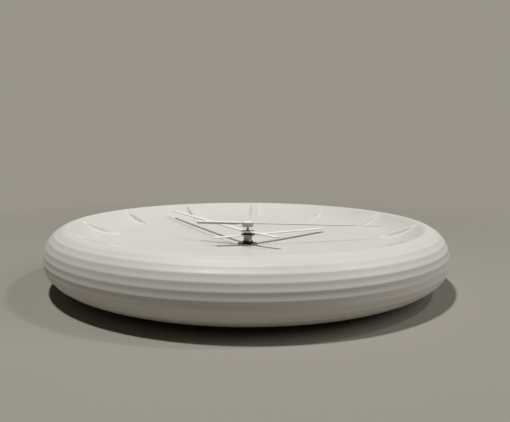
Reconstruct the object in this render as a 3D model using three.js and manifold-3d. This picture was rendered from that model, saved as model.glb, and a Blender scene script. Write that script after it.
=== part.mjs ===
// Ceramic wall clock with a battery quartz movement, lying on its back.
// Millimetres. +Z is the dial's normal, +Y is twelve o'clock, z = 0 is the plane of the foot ring.

import * as THREE from 'three';
import { mergeVertices } from 'three/addons/utils/BufferGeometryUtils.js';
import Module from 'manifold-3d';

const wasm = await Module();
wasm.setup();

// Ceramic body: rim, bowl and foot
const outerRadius = 165;
const rimWidth = 18;
const wall = 6;
const shoulderHeight = 23.9;
const crownRound = 4.5;
const shoulderRound = 15.5;
const bellyRound = 13;
const bellyWidth = 45;
const footWidth = 14;
const footReach = 32;
const footLift = 3.5;
const slopeWidth = 31.5;
const slopeReach = 21;
const crownInnerRound = 4;
const bowlDepth = 20.7;
const bowlRise = 8.3;
const bowlPower = 1.2;
const bodySegments = 48;

// Flutes round the rim
const ribCount = 11;
const ribPitch = 5.2;
const ribStart = 4.2;
const ribDepth = 0.4;
const firstRibShare = 0.4;

// Raised hour marks on the bowl's slope
const hourMarks = 12;
const markInnerReach = 2;
const markOuterMargin = 3.5;
const markWidth = 7;
const markLift = 0.4;
const markRoot = 1.2;

// Clearances, and how far a cut runs past its faces
const past = 1;
const seat = 0.05;
const slip = 0.1;
const socketGap = 0.3;
const shaftPlay = 0.15;
const wallGap = 0.9;

// Threaded bush, washer, nut and gasket at the dial's centre
const bushRadius = 3.8;
const bushWall = 0.9;
const bushStandOff = 7.2;
const bushFlange = 1.7;
const bushFlangeThickness = 1.4;
const washerRadius = 8.6;
const washerThickness = 1.15;
const nutWall = 0.75;
const nutHeight = 2.2;
const gasketRadius = 12;
const gasketThickness = 1;

// Hanger bracket behind the dial
const hangerThickness = 0.8;
const hangerWidth = 20;
const hangerTabLength = 22;
const hangerBack = 3;
const keyholeRadius = 4.5;
const keyholeSlotRadius = 2.2;
const keyholeSlotLength = 7;

// Movement case and rear cover
const caseWall = 1.2;
const caseFrontPlate = 1.4;
const caseCorner = 3;
const coverThickness = 1.2;
const coverTabLength = 5;
const coverTabThickness = 0.8;
const coverTabHeight = 1.3;
const pivotBossWall = 0.9;
const dividerThickness = 1;
const pillarRadius = 1.6;
const postRadius = 1.2;

// Battery and contacts
const batteryRadius = 7.1;
const batteryLength = 49.2;
const batteryNubRadius = 2.7;
const batteryNubLength = 1;
const batteryRim = 0.5;
const batteryPlay = 0.2;
const contactThickness = 0.4;
const contactTravel = 1.2;
const contactStripWidth = 3;
const contactBumpRadius = 2.4;
const contactMargin = 1.4;

// Wheel train, from the rotor to the hour wheel
const rotorLeaves = 6;
const intermediateTeeth = 36;
const intermediateLeaves = 6;
const secondsTeeth = 30;
const secondsLeaves = 6;
const thirdTeeth = 45;
const thirdLeaves = 6;
const centreTeeth = 48;
const cannonLeaves = 10;
const motionTeeth = 30;
const motionLeaves = 8;
const hourTeeth = 32;
const rotorModule = 0.3;
const thirdDistance = 8.7;
const motionDistance = 12;
const intermediateAzimuth = 190;
const rotorAzimuth = 150;
const thirdAzimuth = 75;
const motionAzimuth = 0;
const toothTip = 0.8;
const toothRoot = 1.15;
const toothBase = 0.3;
const wheelThickness = 0.7;
const hourWheelThickness = 0.9;
const arborRadius = 0.4;
const arborGap = 0.6;
const trainMargin = 1.12;

// Heights of the train's levels, one above the other
const coverGap = 0.75;
const levelGap = 0.3;
const wideLevelGap = 0.5;
const pinionOverrun = 0.4;
const pivotLength = 0.45;
const flangeThickness = 0.4;
const springRise = 0.4;
const springThickness = 0.15;
const bridgeThickness = 0.8;
const bridgeMargin = 2.4;

// Motor and electronics
const magnetRadius = 2.9;
const magnetHeight = 2.6;
const magnetGap = 0.5;
const statorThickness = 1;
const statorWeb = 4.6;
const statorLimb = 3.2;
const statorStep = 1;
const coreMargin = 1;
const limbGap = 0.85;
const coilTurnsHeight = 1.8;
const bobbinFlange = 7.2;
const bobbinFlangeThickness = 0.8;
const bobbinWall = 0.5;
const boardDepth = 4.4;
const boardThickness = 1;
const boardLift = 1.55;
const chipLength = 5;
const chipWidth = 3.2;
const chipHeight = 1.1;
const crystalRadius = 1;
const crystalLength = 6;
const crystalMargin = 2.8;

// Arbors and setting knob
const secondsArborRadius = 0.5;
const pipeWall = 0.9;
const minuteShoulder = 0.7;
const minuteFlange = 1.1;
const motionArborRadius = 1.2;
const motionPivotRadius = 0.6;
const knobRadius = 5.5;
const knobHeight = 3;
const knobWeb = 1.2;
const knobFlutes = 16;
const knobFluteDepth = 0.5;
const knobGap = 0.35;

// Hands, with their clock angles at rest
const hourAngle = 58.4;
const minuteAngle = 318.5;
const secondAngle = 93.9;
const handThickness = 0.6;
const handGap = 0.4;
const hourHandLength = 80;
const hourHandTail = 32;
const hourHandWidth = 5.6;
const hourHubRadius = 6.1;
const hourCollarSkirt = 0.6;
const hourFlangeRadius = 6;
const hourFlangeThickness = 0.5;
const hourNeckWall = 0.8;
const hourNeckHeight = 0.85;
const minuteHandMargin = 23.4;
const minuteHandTail = 39;
const minuteHandWidth = 4.8;
const minuteHandBend = 8;
const minuteTipRise = 5.6;
const minuteHubRadius = 6.2;
const colletWall = 0.7;
const colletSkirt = 0.8;
const colletFlangeRadius = 5.6;
const colletFlangeThickness = 0.35;
const secondHandMargin = 34;
const needleRadius = 0.5;
const counterweightReach = 44.5;
const counterweightRadius = 1.35;
const counterweightGrip = 8;
const secondHubRadius = 4.95;
const secondHubHeight = 4.3;
const needleRise = 2.95;
const pipeRadius = 1.05;
const pipeShown = 3.25;
const pipeGrip = 1.2;

const paint = (colour, roughness, metalness) =>
  new THREE.MeshStandardMaterial({ color: colour, roughness, metalness });

const finish = {
  ceramic: paint(0xe1ddd7, 0.8, 0),
  handWhite: paint(0xebe8e8, 0.4, 0),
  brass: paint(0xb58a4a, 0.3, 1),
  washerBrass: paint(0x9a8a62, 0.35, 1),
  darkSteel: paint(0x2b2926, 0.4, 1),
  zinc: paint(0x8f9191, 0.35, 1),
  blackPlastic: paint(0x1b1b1d, 0.45, 0),
  gearPlastic: paint(0xe6e2d4, 0.5, 0),
  rubber: paint(0x222222, 0.9, 0),
  steel: paint(0xa8aaac, 0.3, 1),
  copper: paint(0xb0613a, 0.4, 0.9),
  board: paint(0x2f6b45, 0.6, 0),
  battery: paint(0x6e7479, 0.35, 0.6),
};

const clock = new THREE.Group();
const centre = new THREE.Vector2();
const radians = THREE.MathUtils.degToRad;

// A spot in the dial's plane at a distance and an azimuth in degrees from another spot
function spot(distance, azimuth, from = centre) {
  const angle = radians(azimuth);
  return new THREE.Vector2(from.x + distance * Math.cos(angle), from.y + distance * Math.sin(angle));
}

// Merges shared corners, drops collapsed triangles and turns every face outwards
function weld(geometry) {
  const bare = geometry.clone();
  bare.deleteAttribute('normal');
  bare.deleteAttribute('uv');
  const merged = mergeVertices(bare, 1e-4);
  const index = merged.index.array;
  const corner = (i) => new THREE.Vector3().fromBufferAttribute(merged.attributes.position, i);
  const faces = [];
  let volume = 0;
  for (let i = 0; i < index.length; i += 3) {
    const [a, b, c] = index.slice(i, i + 3);
    if (a === b || b === c || c === a) continue;
    faces.push([a, b, c]);
    volume += corner(a).dot(corner(b).cross(corner(c)));
  }
  merged.setIndex(faces.flatMap(([a, b, c]) => (volume < 0 ? [a, c, b] : [a, b, c])));
  return merged;
}

function toSolid(geometry) {
  const { attributes, index } = weld(geometry);
  return new wasm.Manifold(new wasm.Mesh({
    numProp: 3,
    vertProperties: new Float32Array(attributes.position.array),
    triVerts: new Uint32Array(index.array),
  }));
}

function fromSolid(solid) {
  const mesh = solid.getMesh();
  const geometry = new THREE.BufferGeometry();
  geometry.setAttribute('position', new THREE.BufferAttribute(new Float32Array(mesh.vertProperties), 3));
  geometry.setIndex(new THREE.BufferAttribute(new Uint32Array(mesh.triVerts), 1));
  return geometry;
}

const join = (first, ...rest) =>
  fromSolid(rest.reduce((sum, next) => sum.add(toSolid(next)), toSolid(first)));

const cut = (first, ...rest) =>
  fromSolid(rest.reduce((left, next) => left.subtract(toSolid(next)), toSolid(first)));

// A body of revolution about Z from [radius, height] corners, closed on itself
function turned(corners, sides) {
  const profile = [...corners, corners[0]].map(([r, z]) => new THREE.Vector2(r, z));
  return weld(new THREE.LatheGeometry(profile, sides).rotateX(Math.PI / 2));
}

// A round bar or, with a bore, a tube between two heights
function bar(radius, low, high, sides = 16, bore = 0) {
  return turned([[bore, low], [radius, low], [radius, high], [bore, high]], sides);
}

const barAt = (place, radius, low, high, sides) =>
  bar(radius, low, high, sides).translate(place.x, place.y, 0);

function block(x, y, z) {
  const size = [x, y, z].map(([low, high]) => high - low);
  const middle = [x, y, z].map(([low, high]) => (high + low) / 2);
  return new THREE.BoxGeometry(...size).translate(...middle);
}

function slab(shape, low, high, curveSegments = 8) {
  const options = { depth: high - low, bevelEnabled: false, curveSegments };
  return new THREE.ExtrudeGeometry(shape, options).translate(0, 0, low);
}

const outline = (points) => new THREE.Shape(points.map(([x, y]) => new THREE.Vector2(x, y)));

const roundHole = (place, radius) =>
  new THREE.Path().absarc(place.x, place.y, radius, 0, 2 * Math.PI, true);

// A side profile of [along Y, height] corners given a width across X
const strip = (corners, width) =>
  slab(outline(corners), -width / 2, width / 2).rotateX(Math.PI / 2).rotateZ(Math.PI / 2);

const evenly = (count, value) => Array.from({ length: count }, (_, i) => value(i));

function piece(name, geometry, material, place = centre, parent = clock) {
  const mesh = new THREE.Mesh(weld(geometry), material);
  mesh.geometry.computeVertexNormals();
  mesh.name = name;
  mesh.position.set(place.x, place.y, 0);
  parent.add(mesh);
  return mesh;
}

// Wheel sizes and axes

const tipRadius = (teeth, module) => module * (teeth / 2 + toothTip);

const thirdModule = 2 * thirdDistance / (secondsLeaves + thirdTeeth);
const centreModule = 2 * thirdDistance / (thirdLeaves + centreTeeth);
const cannonModule = 2 * motionDistance / (cannonLeaves + motionTeeth);
const hourModule = 2 * motionDistance / (motionLeaves + hourTeeth);
const secondsDistance = tipRadius(centreTeeth, centreModule) + arborRadius + arborGap;
const secondsModule = 2 * secondsDistance / (secondsTeeth + intermediateLeaves);
const rotorDistance = rotorModule * (intermediateTeeth + rotorLeaves) / 2;

const intermediateAxis = spot(secondsDistance, intermediateAzimuth);
const rotorAxis = spot(rotorDistance, rotorAzimuth, intermediateAxis);
const thirdAxis = spot(thirdDistance, thirdAzimuth);
const motionAxis = spot(motionDistance, motionAzimuth);

// Levels of the train, measured up from the rear cover's inner face

const intermediateLevel = coverGap;
const secondsLevel = intermediateLevel + wheelThickness + levelGap;
const intermediatePinionEnd = secondsLevel + wheelThickness + pinionOverrun;
const thirdLevel = secondsLevel + wheelThickness + wideLevelGap;
const secondsPinionEnd = thirdLevel + wheelThickness + pinionOverrun;
const minuteTubeLevel = secondsPinionEnd + 2 * slip;
const minuteFlangeLevel = minuteTubeLevel + 2 * slip;
const springLevel = minuteFlangeLevel + flangeThickness + seat;
const centreLevel = springLevel + springRise + slip;
const centreEnd = centreLevel + wheelThickness;
const thirdPinionEnd = centreEnd + shaftPlay;
const bridgeLevel = centreEnd + wideLevelGap + seat;
const bridgeEnd = bridgeLevel + bridgeThickness;
const cannonLevel = bridgeEnd + levelGap;
const motionLevel = cannonLevel + pinionOverrun;
const cannonEnd = motionLevel + wheelThickness + wheelThickness;
const hourLevel = cannonEnd + wideLevelGap;
const hourEnd = hourLevel + hourWheelThickness;
const motionPinionEnd = hourEnd + levelGap;
const statorLevel = intermediatePinionEnd + 2 * slip;
const trainHeight = motionPinionEnd + wideLevelGap + bushFlangeThickness + seat;

// Heights of the whole stack: the knob stays clear of the wall, and the dial lies over the movement

const batteryRoom = 2 * (batteryRadius + batteryPlay);
const caseDepth = Math.max(batteryRoom, coverThickness + trainHeight) + caseFrontPlate;
const knobBase = wallGap;
const knobTop = knobBase + knobHeight;
const caseBack = knobTop + knobGap;
const caseFront = caseBack + caseDepth;
const chamberFront = caseFront - caseFrontPlate;
const coverFront = caseBack + coverThickness;
const hangerBase = caseFront + seat;
const hangerTop = hangerBase + hangerThickness;
const gasketBase = hangerTop + seat;
const gasketTop = gasketBase + gasketThickness;
const dialHeight = gasketTop + seat + wall;
const crownHeight = dialHeight + bowlDepth;
const widestHeight = crownHeight - shoulderHeight;
const level = (height) => coverFront + height;

// Ceramic body

const crownRadius = outerRadius - rimWidth;
const bowlRadius = crownRadius - slopeWidth;
const footOuterRadius = outerRadius - bellyWidth;
const footInnerRadius = footOuterRadius - footWidth;
const bowlWidth = bowlRadius - gasketRadius;
const bowlShare = (r) => Math.max(0, r - gasketRadius) / bowlWidth;
const bowlHeight = (r) => dialHeight + bowlRise * bowlShare(r) ** bowlPower;
const bowlEdgeSlope = bowlPower * bowlRise / bowlWidth;

const slopeCurve = new THREE.CubicBezierCurve(
  new THREE.Vector2(bowlRadius, bowlHeight(bowlRadius)),
  new THREE.Vector2(bowlRadius + slopeReach, bowlHeight(bowlRadius) + slopeReach * bowlEdgeSlope),
  new THREE.Vector2(crownRadius - crownInnerRound, crownHeight),
  new THREE.Vector2(crownRadius, crownHeight),
);

function rimCurve() {
  const rim = new THREE.CurvePath();
  const widest = new THREE.Vector2(outerRadius, widestHeight);
  rim.add(new THREE.CubicBezierCurve(
    new THREE.Vector2(crownRadius, crownHeight),
    new THREE.Vector2(crownRadius + crownRound, crownHeight),
    new THREE.Vector2(outerRadius, widestHeight + shoulderRound),
    widest,
  ));
  rim.add(new THREE.CubicBezierCurve(
    widest,
    new THREE.Vector2(outerRadius, widestHeight - bellyRound),
    new THREE.Vector2(footOuterRadius + footReach, footLift),
    new THREE.Vector2(footOuterRadius, 0),
  ));
  return rim;
}

// The face's height at a radius, on the bowl or on its slope
function faceHeight(r) {
  if (r <= bowlRadius) return bowlHeight(r);
  let low = 0;
  let high = 1;
  while (high - low > 1e-7) {
    const middle = (low + high) / 2;
    if (slopeCurve.getPoint(middle).x < r) low = middle;
    else high = middle;
  }
  return slopeCurve.getPoint(low).y;
}

// A curve's point, moved to the left of its run by a distance
function besideCurve(curve, share, distance) {
  const point = curve.getPointAt(share);
  const along = curve.getTangentAt(share);
  return [point.x - along.y * distance, point.y + along.x * distance];
}

// Crests on the rim's curve with a round cove between each pair, the first cove the shallowest
function flutes(rim) {
  const length = rim.getLength();
  const cuts = 3;
  return evenly((ribCount - 1) * cuts + 1, (i) => {
    const depth = i < cuts ? firstRibShare * ribDepth : ribDepth;
    const cove = depth * Math.sin(Math.PI * (i % cuts) / cuts);
    return besideCurve(rim, (ribStart + i * ribPitch / cuts) / length, -cove);
  });
}

function ceramicBody(holeRadius) {
  const rim = rimCurve();
  const fluteStart = ribStart / rim.getLength();
  const fluteEnd = fluteStart + (ribCount - 1) * ribPitch / rim.getLength();
  const spread = 0.6;
  const bowlRadii = (count) => evenly(count, (i) => bowlRadius * ((i + 1) / count) ** spread);
  const bowl = [holeRadius, gasketRadius, ...bowlRadii(5)].map((r) => [r, bowlHeight(r)]);
  const slope = evenly(6, (i) => slopeCurve.getPoint((i + 1) / 7).toArray());
  const crown = evenly(2, (i) => besideCurve(rim, fluteStart * i / 2, 0));
  const belly = evenly(3, (i) => besideCurve(rim, fluteEnd + (1 - fluteEnd) * (i + 1) / 3, 0));
  const foot = [[footInnerRadius, 0], [footInnerRadius, wall]];
  const innerRim = evenly(8, (i) => besideCurve(rim, 1 - i / 8, -wall));
  const innerSlope = evenly(3, (i) => besideCurve(slopeCurve, 0.8 - i * 0.3, -wall));
  const innerBowl = [holeRadius, gasketRadius, ...bowlRadii(3)]
    .map((r) => [r, bowlHeight(r) - wall])
    .reverse();
  return turned([
    ...bowl, ...slope, ...crown, ...flutes(rim), ...belly,
    ...foot, ...innerRim, ...innerSlope, ...innerBowl,
  ], bodySegments);
}

// One straight bar that bridges the bowl's hollow slope, so it stands proudest in its middle
function hourMark(hour) {
  const inner = bowlRadius - markInnerReach;
  const outer = crownRadius - markOuterMargin;
  const steps = 5;
  const radii = evenly(steps + 1, (i) => outer + (inner - outer) * i / steps);
  const top = [[inner, faceHeight(inner) + markLift], [outer, faceHeight(outer) + markLift]];
  const bottom = radii.map((r) => [r, faceHeight(r) - markRoot]);
  return strip([...top, ...bottom], markWidth).rotateZ(-2 * Math.PI * hour / hourMarks);
}

const dialHole = bushRadius + socketGap;
piece('ceramic_body', join(ceramicBody(dialHole), ...evenly(hourMarks, hourMark)), finish.ceramic);

// Movement case outline: the battery bay below the wheels, the coil and the board above them

const hourTip = tipRadius(hourTeeth, hourModule);
const dividerHigh = -(hourTip + trainMargin);
const dividerLow = dividerHigh - dividerThickness;
const bayY = dividerLow - batteryPlay - batteryRadius;
const bayLow = bayY - batteryRadius - batteryPlay;
const cellLength = batteryLength + batteryNubLength;
const caseInnerX = cellLength / 2 + contactThickness + contactTravel + slip;
const caseX = caseInnerX + caseWall;

const coilPillar = rotorAxis.clone().add(new THREE.Vector2(bridgeMargin, 3.5 * bridgeMargin));
const coreY = coilPillar.y + bridgeMargin + magnetHeight / 2 + wideLevelGap + bobbinFlange / 2;
const boardLow = coreY + bobbinFlange / 2 + wideLevelGap;
const boardHigh = boardLow + boardDepth;
const caseInnerHigh = boardHigh + wideLevelGap;
const caseHigh = caseInnerHigh + caseWall;
const caseLow = bayLow - caseWall;

// Bush, washer, nut, gasket and bracket

const bushBore = bushRadius - bushWall;
const bushTop = dialHeight + bushStandOff;
const bushFlangeTop = chamberFront - seat;
const washerBase = dialHeight + seat;
const washerTop = washerBase + washerThickness;
const nutBase = washerTop + seat;
const nutTop = nutBase + nutHeight;
const nutRadius = (bushRadius + slip + nutWall) / Math.cos(Math.PI / 6);

piece('threaded_bush', turned([
  [bushBore, bushFlangeTop - bushFlangeThickness],
  [bushRadius + bushFlange, bushFlangeTop - bushFlangeThickness],
  [bushRadius + bushFlange, bushFlangeTop], [bushRadius, bushFlangeTop],
  [bushRadius, bushTop], [bushBore, bushTop],
], 16), finish.zinc);
piece('fixing_washer', bar(washerRadius, washerBase, washerTop, 24, bushRadius + slip), finish.washerBrass);
piece('fixing_nut', cut(
  bar(nutRadius, nutBase, nutTop, 6),
  bar(bushRadius + slip, nutBase - past, nutTop + past, 20),
), finish.darkSteel);
piece('rubber_gasket', bar(gasketRadius, gasketBase, gasketTop, 20, dialHole), finish.rubber);

// A strip from the bush over the case's edge and down to the wall, where its tab has a keyhole
function hangerBracket() {
  const bend = caseHigh + socketGap;
  const tabTop = hangerBack + hangerThickness;
  const tabEnd = bend + hangerThickness + hangerTabLength;
  const bent = strip([
    [-gasketRadius, hangerBase], [-gasketRadius, hangerTop], [bend + hangerThickness, hangerTop],
    [bend + hangerThickness, tabTop], [tabEnd, tabTop], [tabEnd, hangerBack],
    [bend, hangerBack], [bend, hangerBase],
  ], hangerWidth);
  const hole = new THREE.Vector2(0, tabEnd - (hangerWidth + keyholeSlotLength) / 2);
  const slotEnd = new THREE.Vector2(0, hole.y + keyholeSlotLength);
  return cut(
    bent,
    bar(bushRadius + slip, hangerBase - past, hangerTop + past, 20),
    barAt(hole, keyholeRadius, hangerBack - past, tabTop + past, 20),
    barAt(slotEnd, keyholeSlotRadius, hangerBack - past, tabTop + past, 16),
    block([-keyholeSlotRadius, keyholeSlotRadius], [hole.y, slotEnd.y], [hangerBack - past, tabTop + past]),
  );
}
piece('hanger_bracket', hangerBracket(), finish.steel);

// Wheels

// The angle of a wheel's first tooth that meshes it with its partner at the given azimuth
function meshAngle(partnerTeeth, azimuth, teeth) {
  return radians(azimuth) + Math.PI - (Math.PI - radians(azimuth) * partnerTeeth) / teeth;
}

// Straight-flanked pointed teeth about the origin, with play at the flanks and at the roots
function gear(teeth, module, firstTooth, low, high, bore = 0) {
  const root = module * (teeth / 2 - toothRoot);
  const step = 2 * Math.PI / teeth;
  const polar = (radius, angle) => [radius * Math.cos(angle), radius * Math.sin(angle)];
  const shape = outline(evenly(teeth, (tooth) => firstTooth + tooth * step).flatMap((middle) => [
    polar(root, middle - toothBase * step),
    polar(tipRadius(teeth, module), middle),
    polar(root, middle + toothBase * step),
  ]));
  if (bore > 0) shape.holes.push(roundHole(centre, bore));
  return slab(shape, low, high);
}

// A wheel, the pinion on its front and the arbor through both
function wheelAndPinion(wheel, pinion, base, pinionEnd, arbor) {
  return join(
    gear(...wheel, level(base), level(base + wheelThickness)),
    gear(...pinion, level(base + wheelThickness / 2), level(pinionEnd)),
    arbor,
  );
}

const pivotBase = coverFront - pivotLength;
const arborEnd = level(bridgeEnd) - 2 * slip;
const thinArbor = bar(arborRadius, pivotBase, arborEnd, 8);
const statorBase = level(statorLevel);
const statorTop = statorBase + statorThickness;
const magnetBase = (statorBase + statorTop - magnetHeight) / 2;

piece('rotor_magnet', bar(magnetRadius, magnetBase, magnetBase + magnetHeight, 20, arborRadius + slip),
  finish.darkSteel, rotorAxis);
piece('rotor_pinion', join(
  gear(rotorLeaves, rotorModule, meshAngle(intermediateTeeth, rotorAzimuth, rotorLeaves),
    level(intermediateLevel - 2 * slip), level(intermediateLevel + wheelThickness + 2 * slip)),
  thinArbor,
), finish.steel, rotorAxis);
piece('intermediate_wheel', wheelAndPinion(
  [intermediateTeeth, rotorModule, 0],
  [intermediateLeaves, secondsModule, meshAngle(secondsTeeth, intermediateAzimuth, intermediateLeaves)],
  intermediateLevel, intermediatePinionEnd, thinArbor,
), finish.gearPlastic, intermediateAxis);
piece('third_wheel', wheelAndPinion(
  [thirdTeeth, thirdModule, meshAngle(secondsLeaves, thirdAzimuth, thirdTeeth)],
  [thirdLeaves, centreModule, meshAngle(centreTeeth, thirdAzimuth, thirdLeaves)],
  thirdLevel, thirdPinionEnd, thinArbor,
), finish.gearPlastic, thirdAxis);

const hourPipeRadius = bushBore - shaftPlay;
const hourPipeBore = hourPipeRadius - pipeWall;
const minuteArborRadius = hourPipeBore - shaftPlay;
const minuteBore = secondsArborRadius + shaftPlay - seat / 2;
const minuteShoulderRadius = minuteArborRadius + minuteShoulder;
const minuteFlangeRadius = minuteArborRadius + minuteFlange;

piece('centre_wheel',
  gear(centreTeeth, centreModule, 0, level(centreLevel), level(centreEnd), minuteArborRadius + slip),
  finish.gearPlastic);
piece('clutch_spring', turned([
  [minuteArborRadius + slip, level(springLevel) + springRise - springThickness],
  [minuteFlangeRadius + wheelThickness, level(springLevel)],
  [minuteFlangeRadius + wheelThickness, level(springLevel) + springThickness],
  [minuteArborRadius + slip, level(springLevel) + springRise],
], 16), finish.steel);

// Heights of the hands over the bush

const hourCollarBase = bushTop + 2 * slip;
const hourHandBase = hourCollarBase + hourCollarSkirt;
const hourHandTop = hourHandBase + handThickness;
const hourFlangeBase = hourHandTop + seat;
const hourFlangeTop = hourFlangeBase + hourFlangeThickness;
const hourPipeTop = hourFlangeTop + hourNeckHeight;
const colletBase = hourPipeTop + handGap;
const minuteHandBase = colletBase + colletSkirt;
const minuteHandTop = minuteHandBase + handThickness;
const colletTop = minuteHandTop + seat + colletFlangeThickness;
const pipeBase = colletTop + shaftPlay;
const secondHubBase = pipeBase + pipeShown;
const secondHubTop = secondHubBase + secondHubHeight;
const needleHeight = secondHubBase + needleRise;
const pipeTop = secondHubBase + pipeGrip;
const secondsArborTop = pipeTop - 2 * slip;

piece('seconds_wheel', wheelAndPinion(
  [secondsTeeth, secondsModule, 0], [secondsLeaves, thirdModule, 0],
  secondsLevel, secondsPinionEnd, bar(secondsArborRadius, pivotBase, secondsArborTop, 10),
), finish.gearPlastic);

// The minute arbor: clutch flange, shoulder, cannon pinion and the long tube up to the minute hand
function minuteArbor() {
  const top = colletTop - slip;
  const tube = turned([
    [0, level(minuteTubeLevel)], [minuteArborRadius, level(minuteTubeLevel)],
    [minuteArborRadius, level(minuteFlangeLevel)], [minuteFlangeRadius, level(minuteFlangeLevel)],
    [minuteFlangeRadius, level(minuteFlangeLevel + flangeThickness)],
    [minuteArborRadius, level(minuteFlangeLevel + flangeThickness)],
    [minuteArborRadius, level(centreEnd) + seat], [minuteShoulderRadius, level(centreEnd) + seat],
    [minuteShoulderRadius, level(cannonLevel) + seat], [minuteArborRadius, level(cannonLevel) + seat],
    [minuteArborRadius, top], [0, top],
  ], 16);
  const cannon = gear(cannonLeaves, cannonModule, 0, level(cannonLevel), level(cannonEnd));
  return cut(join(tube, cannon), bar(minuteBore, level(minuteTubeLevel) - past, top + past, 12));
}
piece('minute_arbor', minuteArbor(), finish.brass);

const motionPivotTop = level(motionPinionEnd) + 2 * wheelThickness;
piece('motion_wheel', join(
  wheelAndPinion(
    [motionTeeth, cannonModule, meshAngle(cannonLeaves, motionAzimuth, motionTeeth)],
    [motionLeaves, hourModule, meshAngle(hourTeeth, motionAzimuth, motionLeaves)],
    motionLevel, motionPinionEnd, bar(motionArborRadius, knobBase + knobWeb, level(motionPinionEnd), 12),
  ),
  bar(motionPivotRadius, level(motionPinionEnd) - past, motionPivotTop, 10),
), finish.gearPlastic, motionAxis);
piece('hour_wheel', join(
  gear(hourTeeth, hourModule, 0, level(hourLevel), level(hourEnd), hourPipeBore + slip),
  bar(hourPipeRadius, level(hourLevel), hourPipeTop, 16, hourPipeBore),
), finish.blackPlastic);

function settingKnob() {
  const grip = outline(evenly(2 * knobFlutes, (i) => {
    const radius = i % 2 ? knobRadius : knobRadius - knobFluteDepth;
    const angle = Math.PI * i / knobFlutes;
    return [radius * Math.cos(angle), radius * Math.sin(angle)];
  }));
  const socket = bar(motionArborRadius + seat, knobBase + knobWeb - slip, knobTop + past, 12);
  return cut(slab(grip, knobBase, knobTop), socket);
}
piece('setting_knob', settingKnob(), finish.blackPlastic, motionAxis);

// Wheel bridge on three pillars

const pillars = [
  coilPillar,
  intermediateAxis.clone().add(new THREE.Vector2(-3, -2.4).multiplyScalar(bridgeMargin)),
  thirdAxis.clone().add(new THREE.Vector2(2.8, 2.8).multiplyScalar(bridgeMargin)),
];

// The tight outline round some spots, a margin away from each
function wrapped(spots, margin) {
  const rounds = spots.flatMap((place) => evenly(8, (i) => spot(margin, 45 * i, place)));
  const sorted = rounds.sort((a, b) => a.x - b.x || a.y - b.y);
  const turn = (a, b, c) => (b.x - a.x) * (c.y - a.y) - (b.y - a.y) * (c.x - a.x);
  const half = (points) => points.reduce((chain, point) => {
    while (chain.length > 1 && turn(chain.at(-2), chain.at(-1), point) <= 1e-6) chain.pop();
    return [...chain, point];
  }, []).slice(0, -1);
  return new THREE.Shape([...half(sorted), ...half([...sorted].reverse())]);
}

function wheelBridge() {
  const shape = wrapped([...pillars, rotorAxis, intermediateAxis, thirdAxis, centre], bridgeMargin);
  const low = level(bridgeLevel);
  const high = level(bridgeEnd);
  const pivots = [rotorAxis, intermediateAxis, thirdAxis];
  return cut(
    slab(shape, low, high),
    bar(minuteShoulderRadius + 2 * slip, low - past, high + past, 20),
    ...pivots.map((axis) => barAt(axis, arborRadius + slip, low - past, high + past, 8)),
  );
}
piece('wheel_bridge', wheelBridge(), finish.gearPlastic);

// Motor: stator, core, bobbin and winding

const coreBase = statorTop + seat;
const coreTop = coreBase + statorThickness;
const coreLeft = coreMargin - caseInnerX;
const coreRight = thirdAxis.x - tipRadius(thirdTeeth, thirdModule) - limbGap;
const coreLow = coreY - statorLimb / 2;
const coreHigh = coreY + statorLimb / 2;

// A plate with the rotor's hole and a limb up to each end of the coil's core
function stator() {
  const low = rotorAxis.y - statorWeb;
  const high = rotorAxis.y + statorWeb;
  const nose = rotorAxis.x + statorWeb;
  const shape = outline([
    [coreLeft, low], [rotorAxis.x + statorWeb / 2, low], [nose, rotorAxis.y - statorWeb / 2],
    [nose, rotorAxis.y + statorWeb / 4], [coreRight, high], [coreRight, coreHigh],
    [coreRight - statorLimb, coreHigh], [coreRight - statorLimb, high + statorStep],
    [coreLeft + statorLimb, high + statorStep],
    [coreLeft + statorLimb, coreHigh], [coreLeft, coreHigh],
  ]);
  shape.holes.push(roundHole(rotorAxis, magnetRadius + magnetGap));
  return slab(shape, statorBase, statorTop);
}
piece('motor_stator', stator(), finish.steel);
piece('coil_core', block([coreLeft, coreRight], [coreLow, coreHigh], [coreBase, coreTop]), finish.steel);

const coilLeft = coreLeft + statorLimb + socketGap;
const coilRight = coreRight - statorLimb - socketGap;
const coilHeight = (coreBase + coreTop) / 2;

// A square bar along X, round the coil's middle line, from its half depth and half height
const coilBar = ([depth, height], left, right) =>
  block([left, right], [coreY - depth, coreY + depth], [coilHeight - height, coilHeight + height]);

function coil() {
  const grown = (size, by) => size.map((half) => half + by);
  const bore = grown([statorLimb / 2, statorThickness / 2], slip);
  const tube = grown(bore, bobbinWall);
  const flange = [bobbinFlange / 2, bobbinFlange / 2];
  const innerLeft = coilLeft + bobbinFlangeThickness;
  const innerRight = coilRight - bobbinFlangeThickness;
  const bobbin = cut(
    join(coilBar(tube, coilLeft, coilRight), coilBar(flange, coilLeft, innerLeft),
      coilBar(flange, innerRight, coilRight)),
    coilBar(bore, coilLeft - past, coilRight + past),
  );
  const winding = cut(
    coilBar(grown(tube, coilTurnsHeight), innerLeft + seat, innerRight - seat),
    coilBar(grown(tube, seat), coilLeft, coilRight),
  );
  piece('coil_bobbin', bobbin, finish.blackPlastic);
  piece('coil_winding', winding, finish.copper);
}
coil();

// Circuit board with its chip and quartz crystal

const boardBase = level(boardLift);
const boardTop = boardBase + boardThickness;
const boardX = caseInnerX - contactThickness - socketGap - 2 * slip;
const boardY = (boardLow + boardHigh) / 2;
const partBase = boardTop + seat;
const crystalRight = boardX - crystalMargin;
const boardPostX = crystalRight - crystalLength - crystalMargin;

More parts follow.
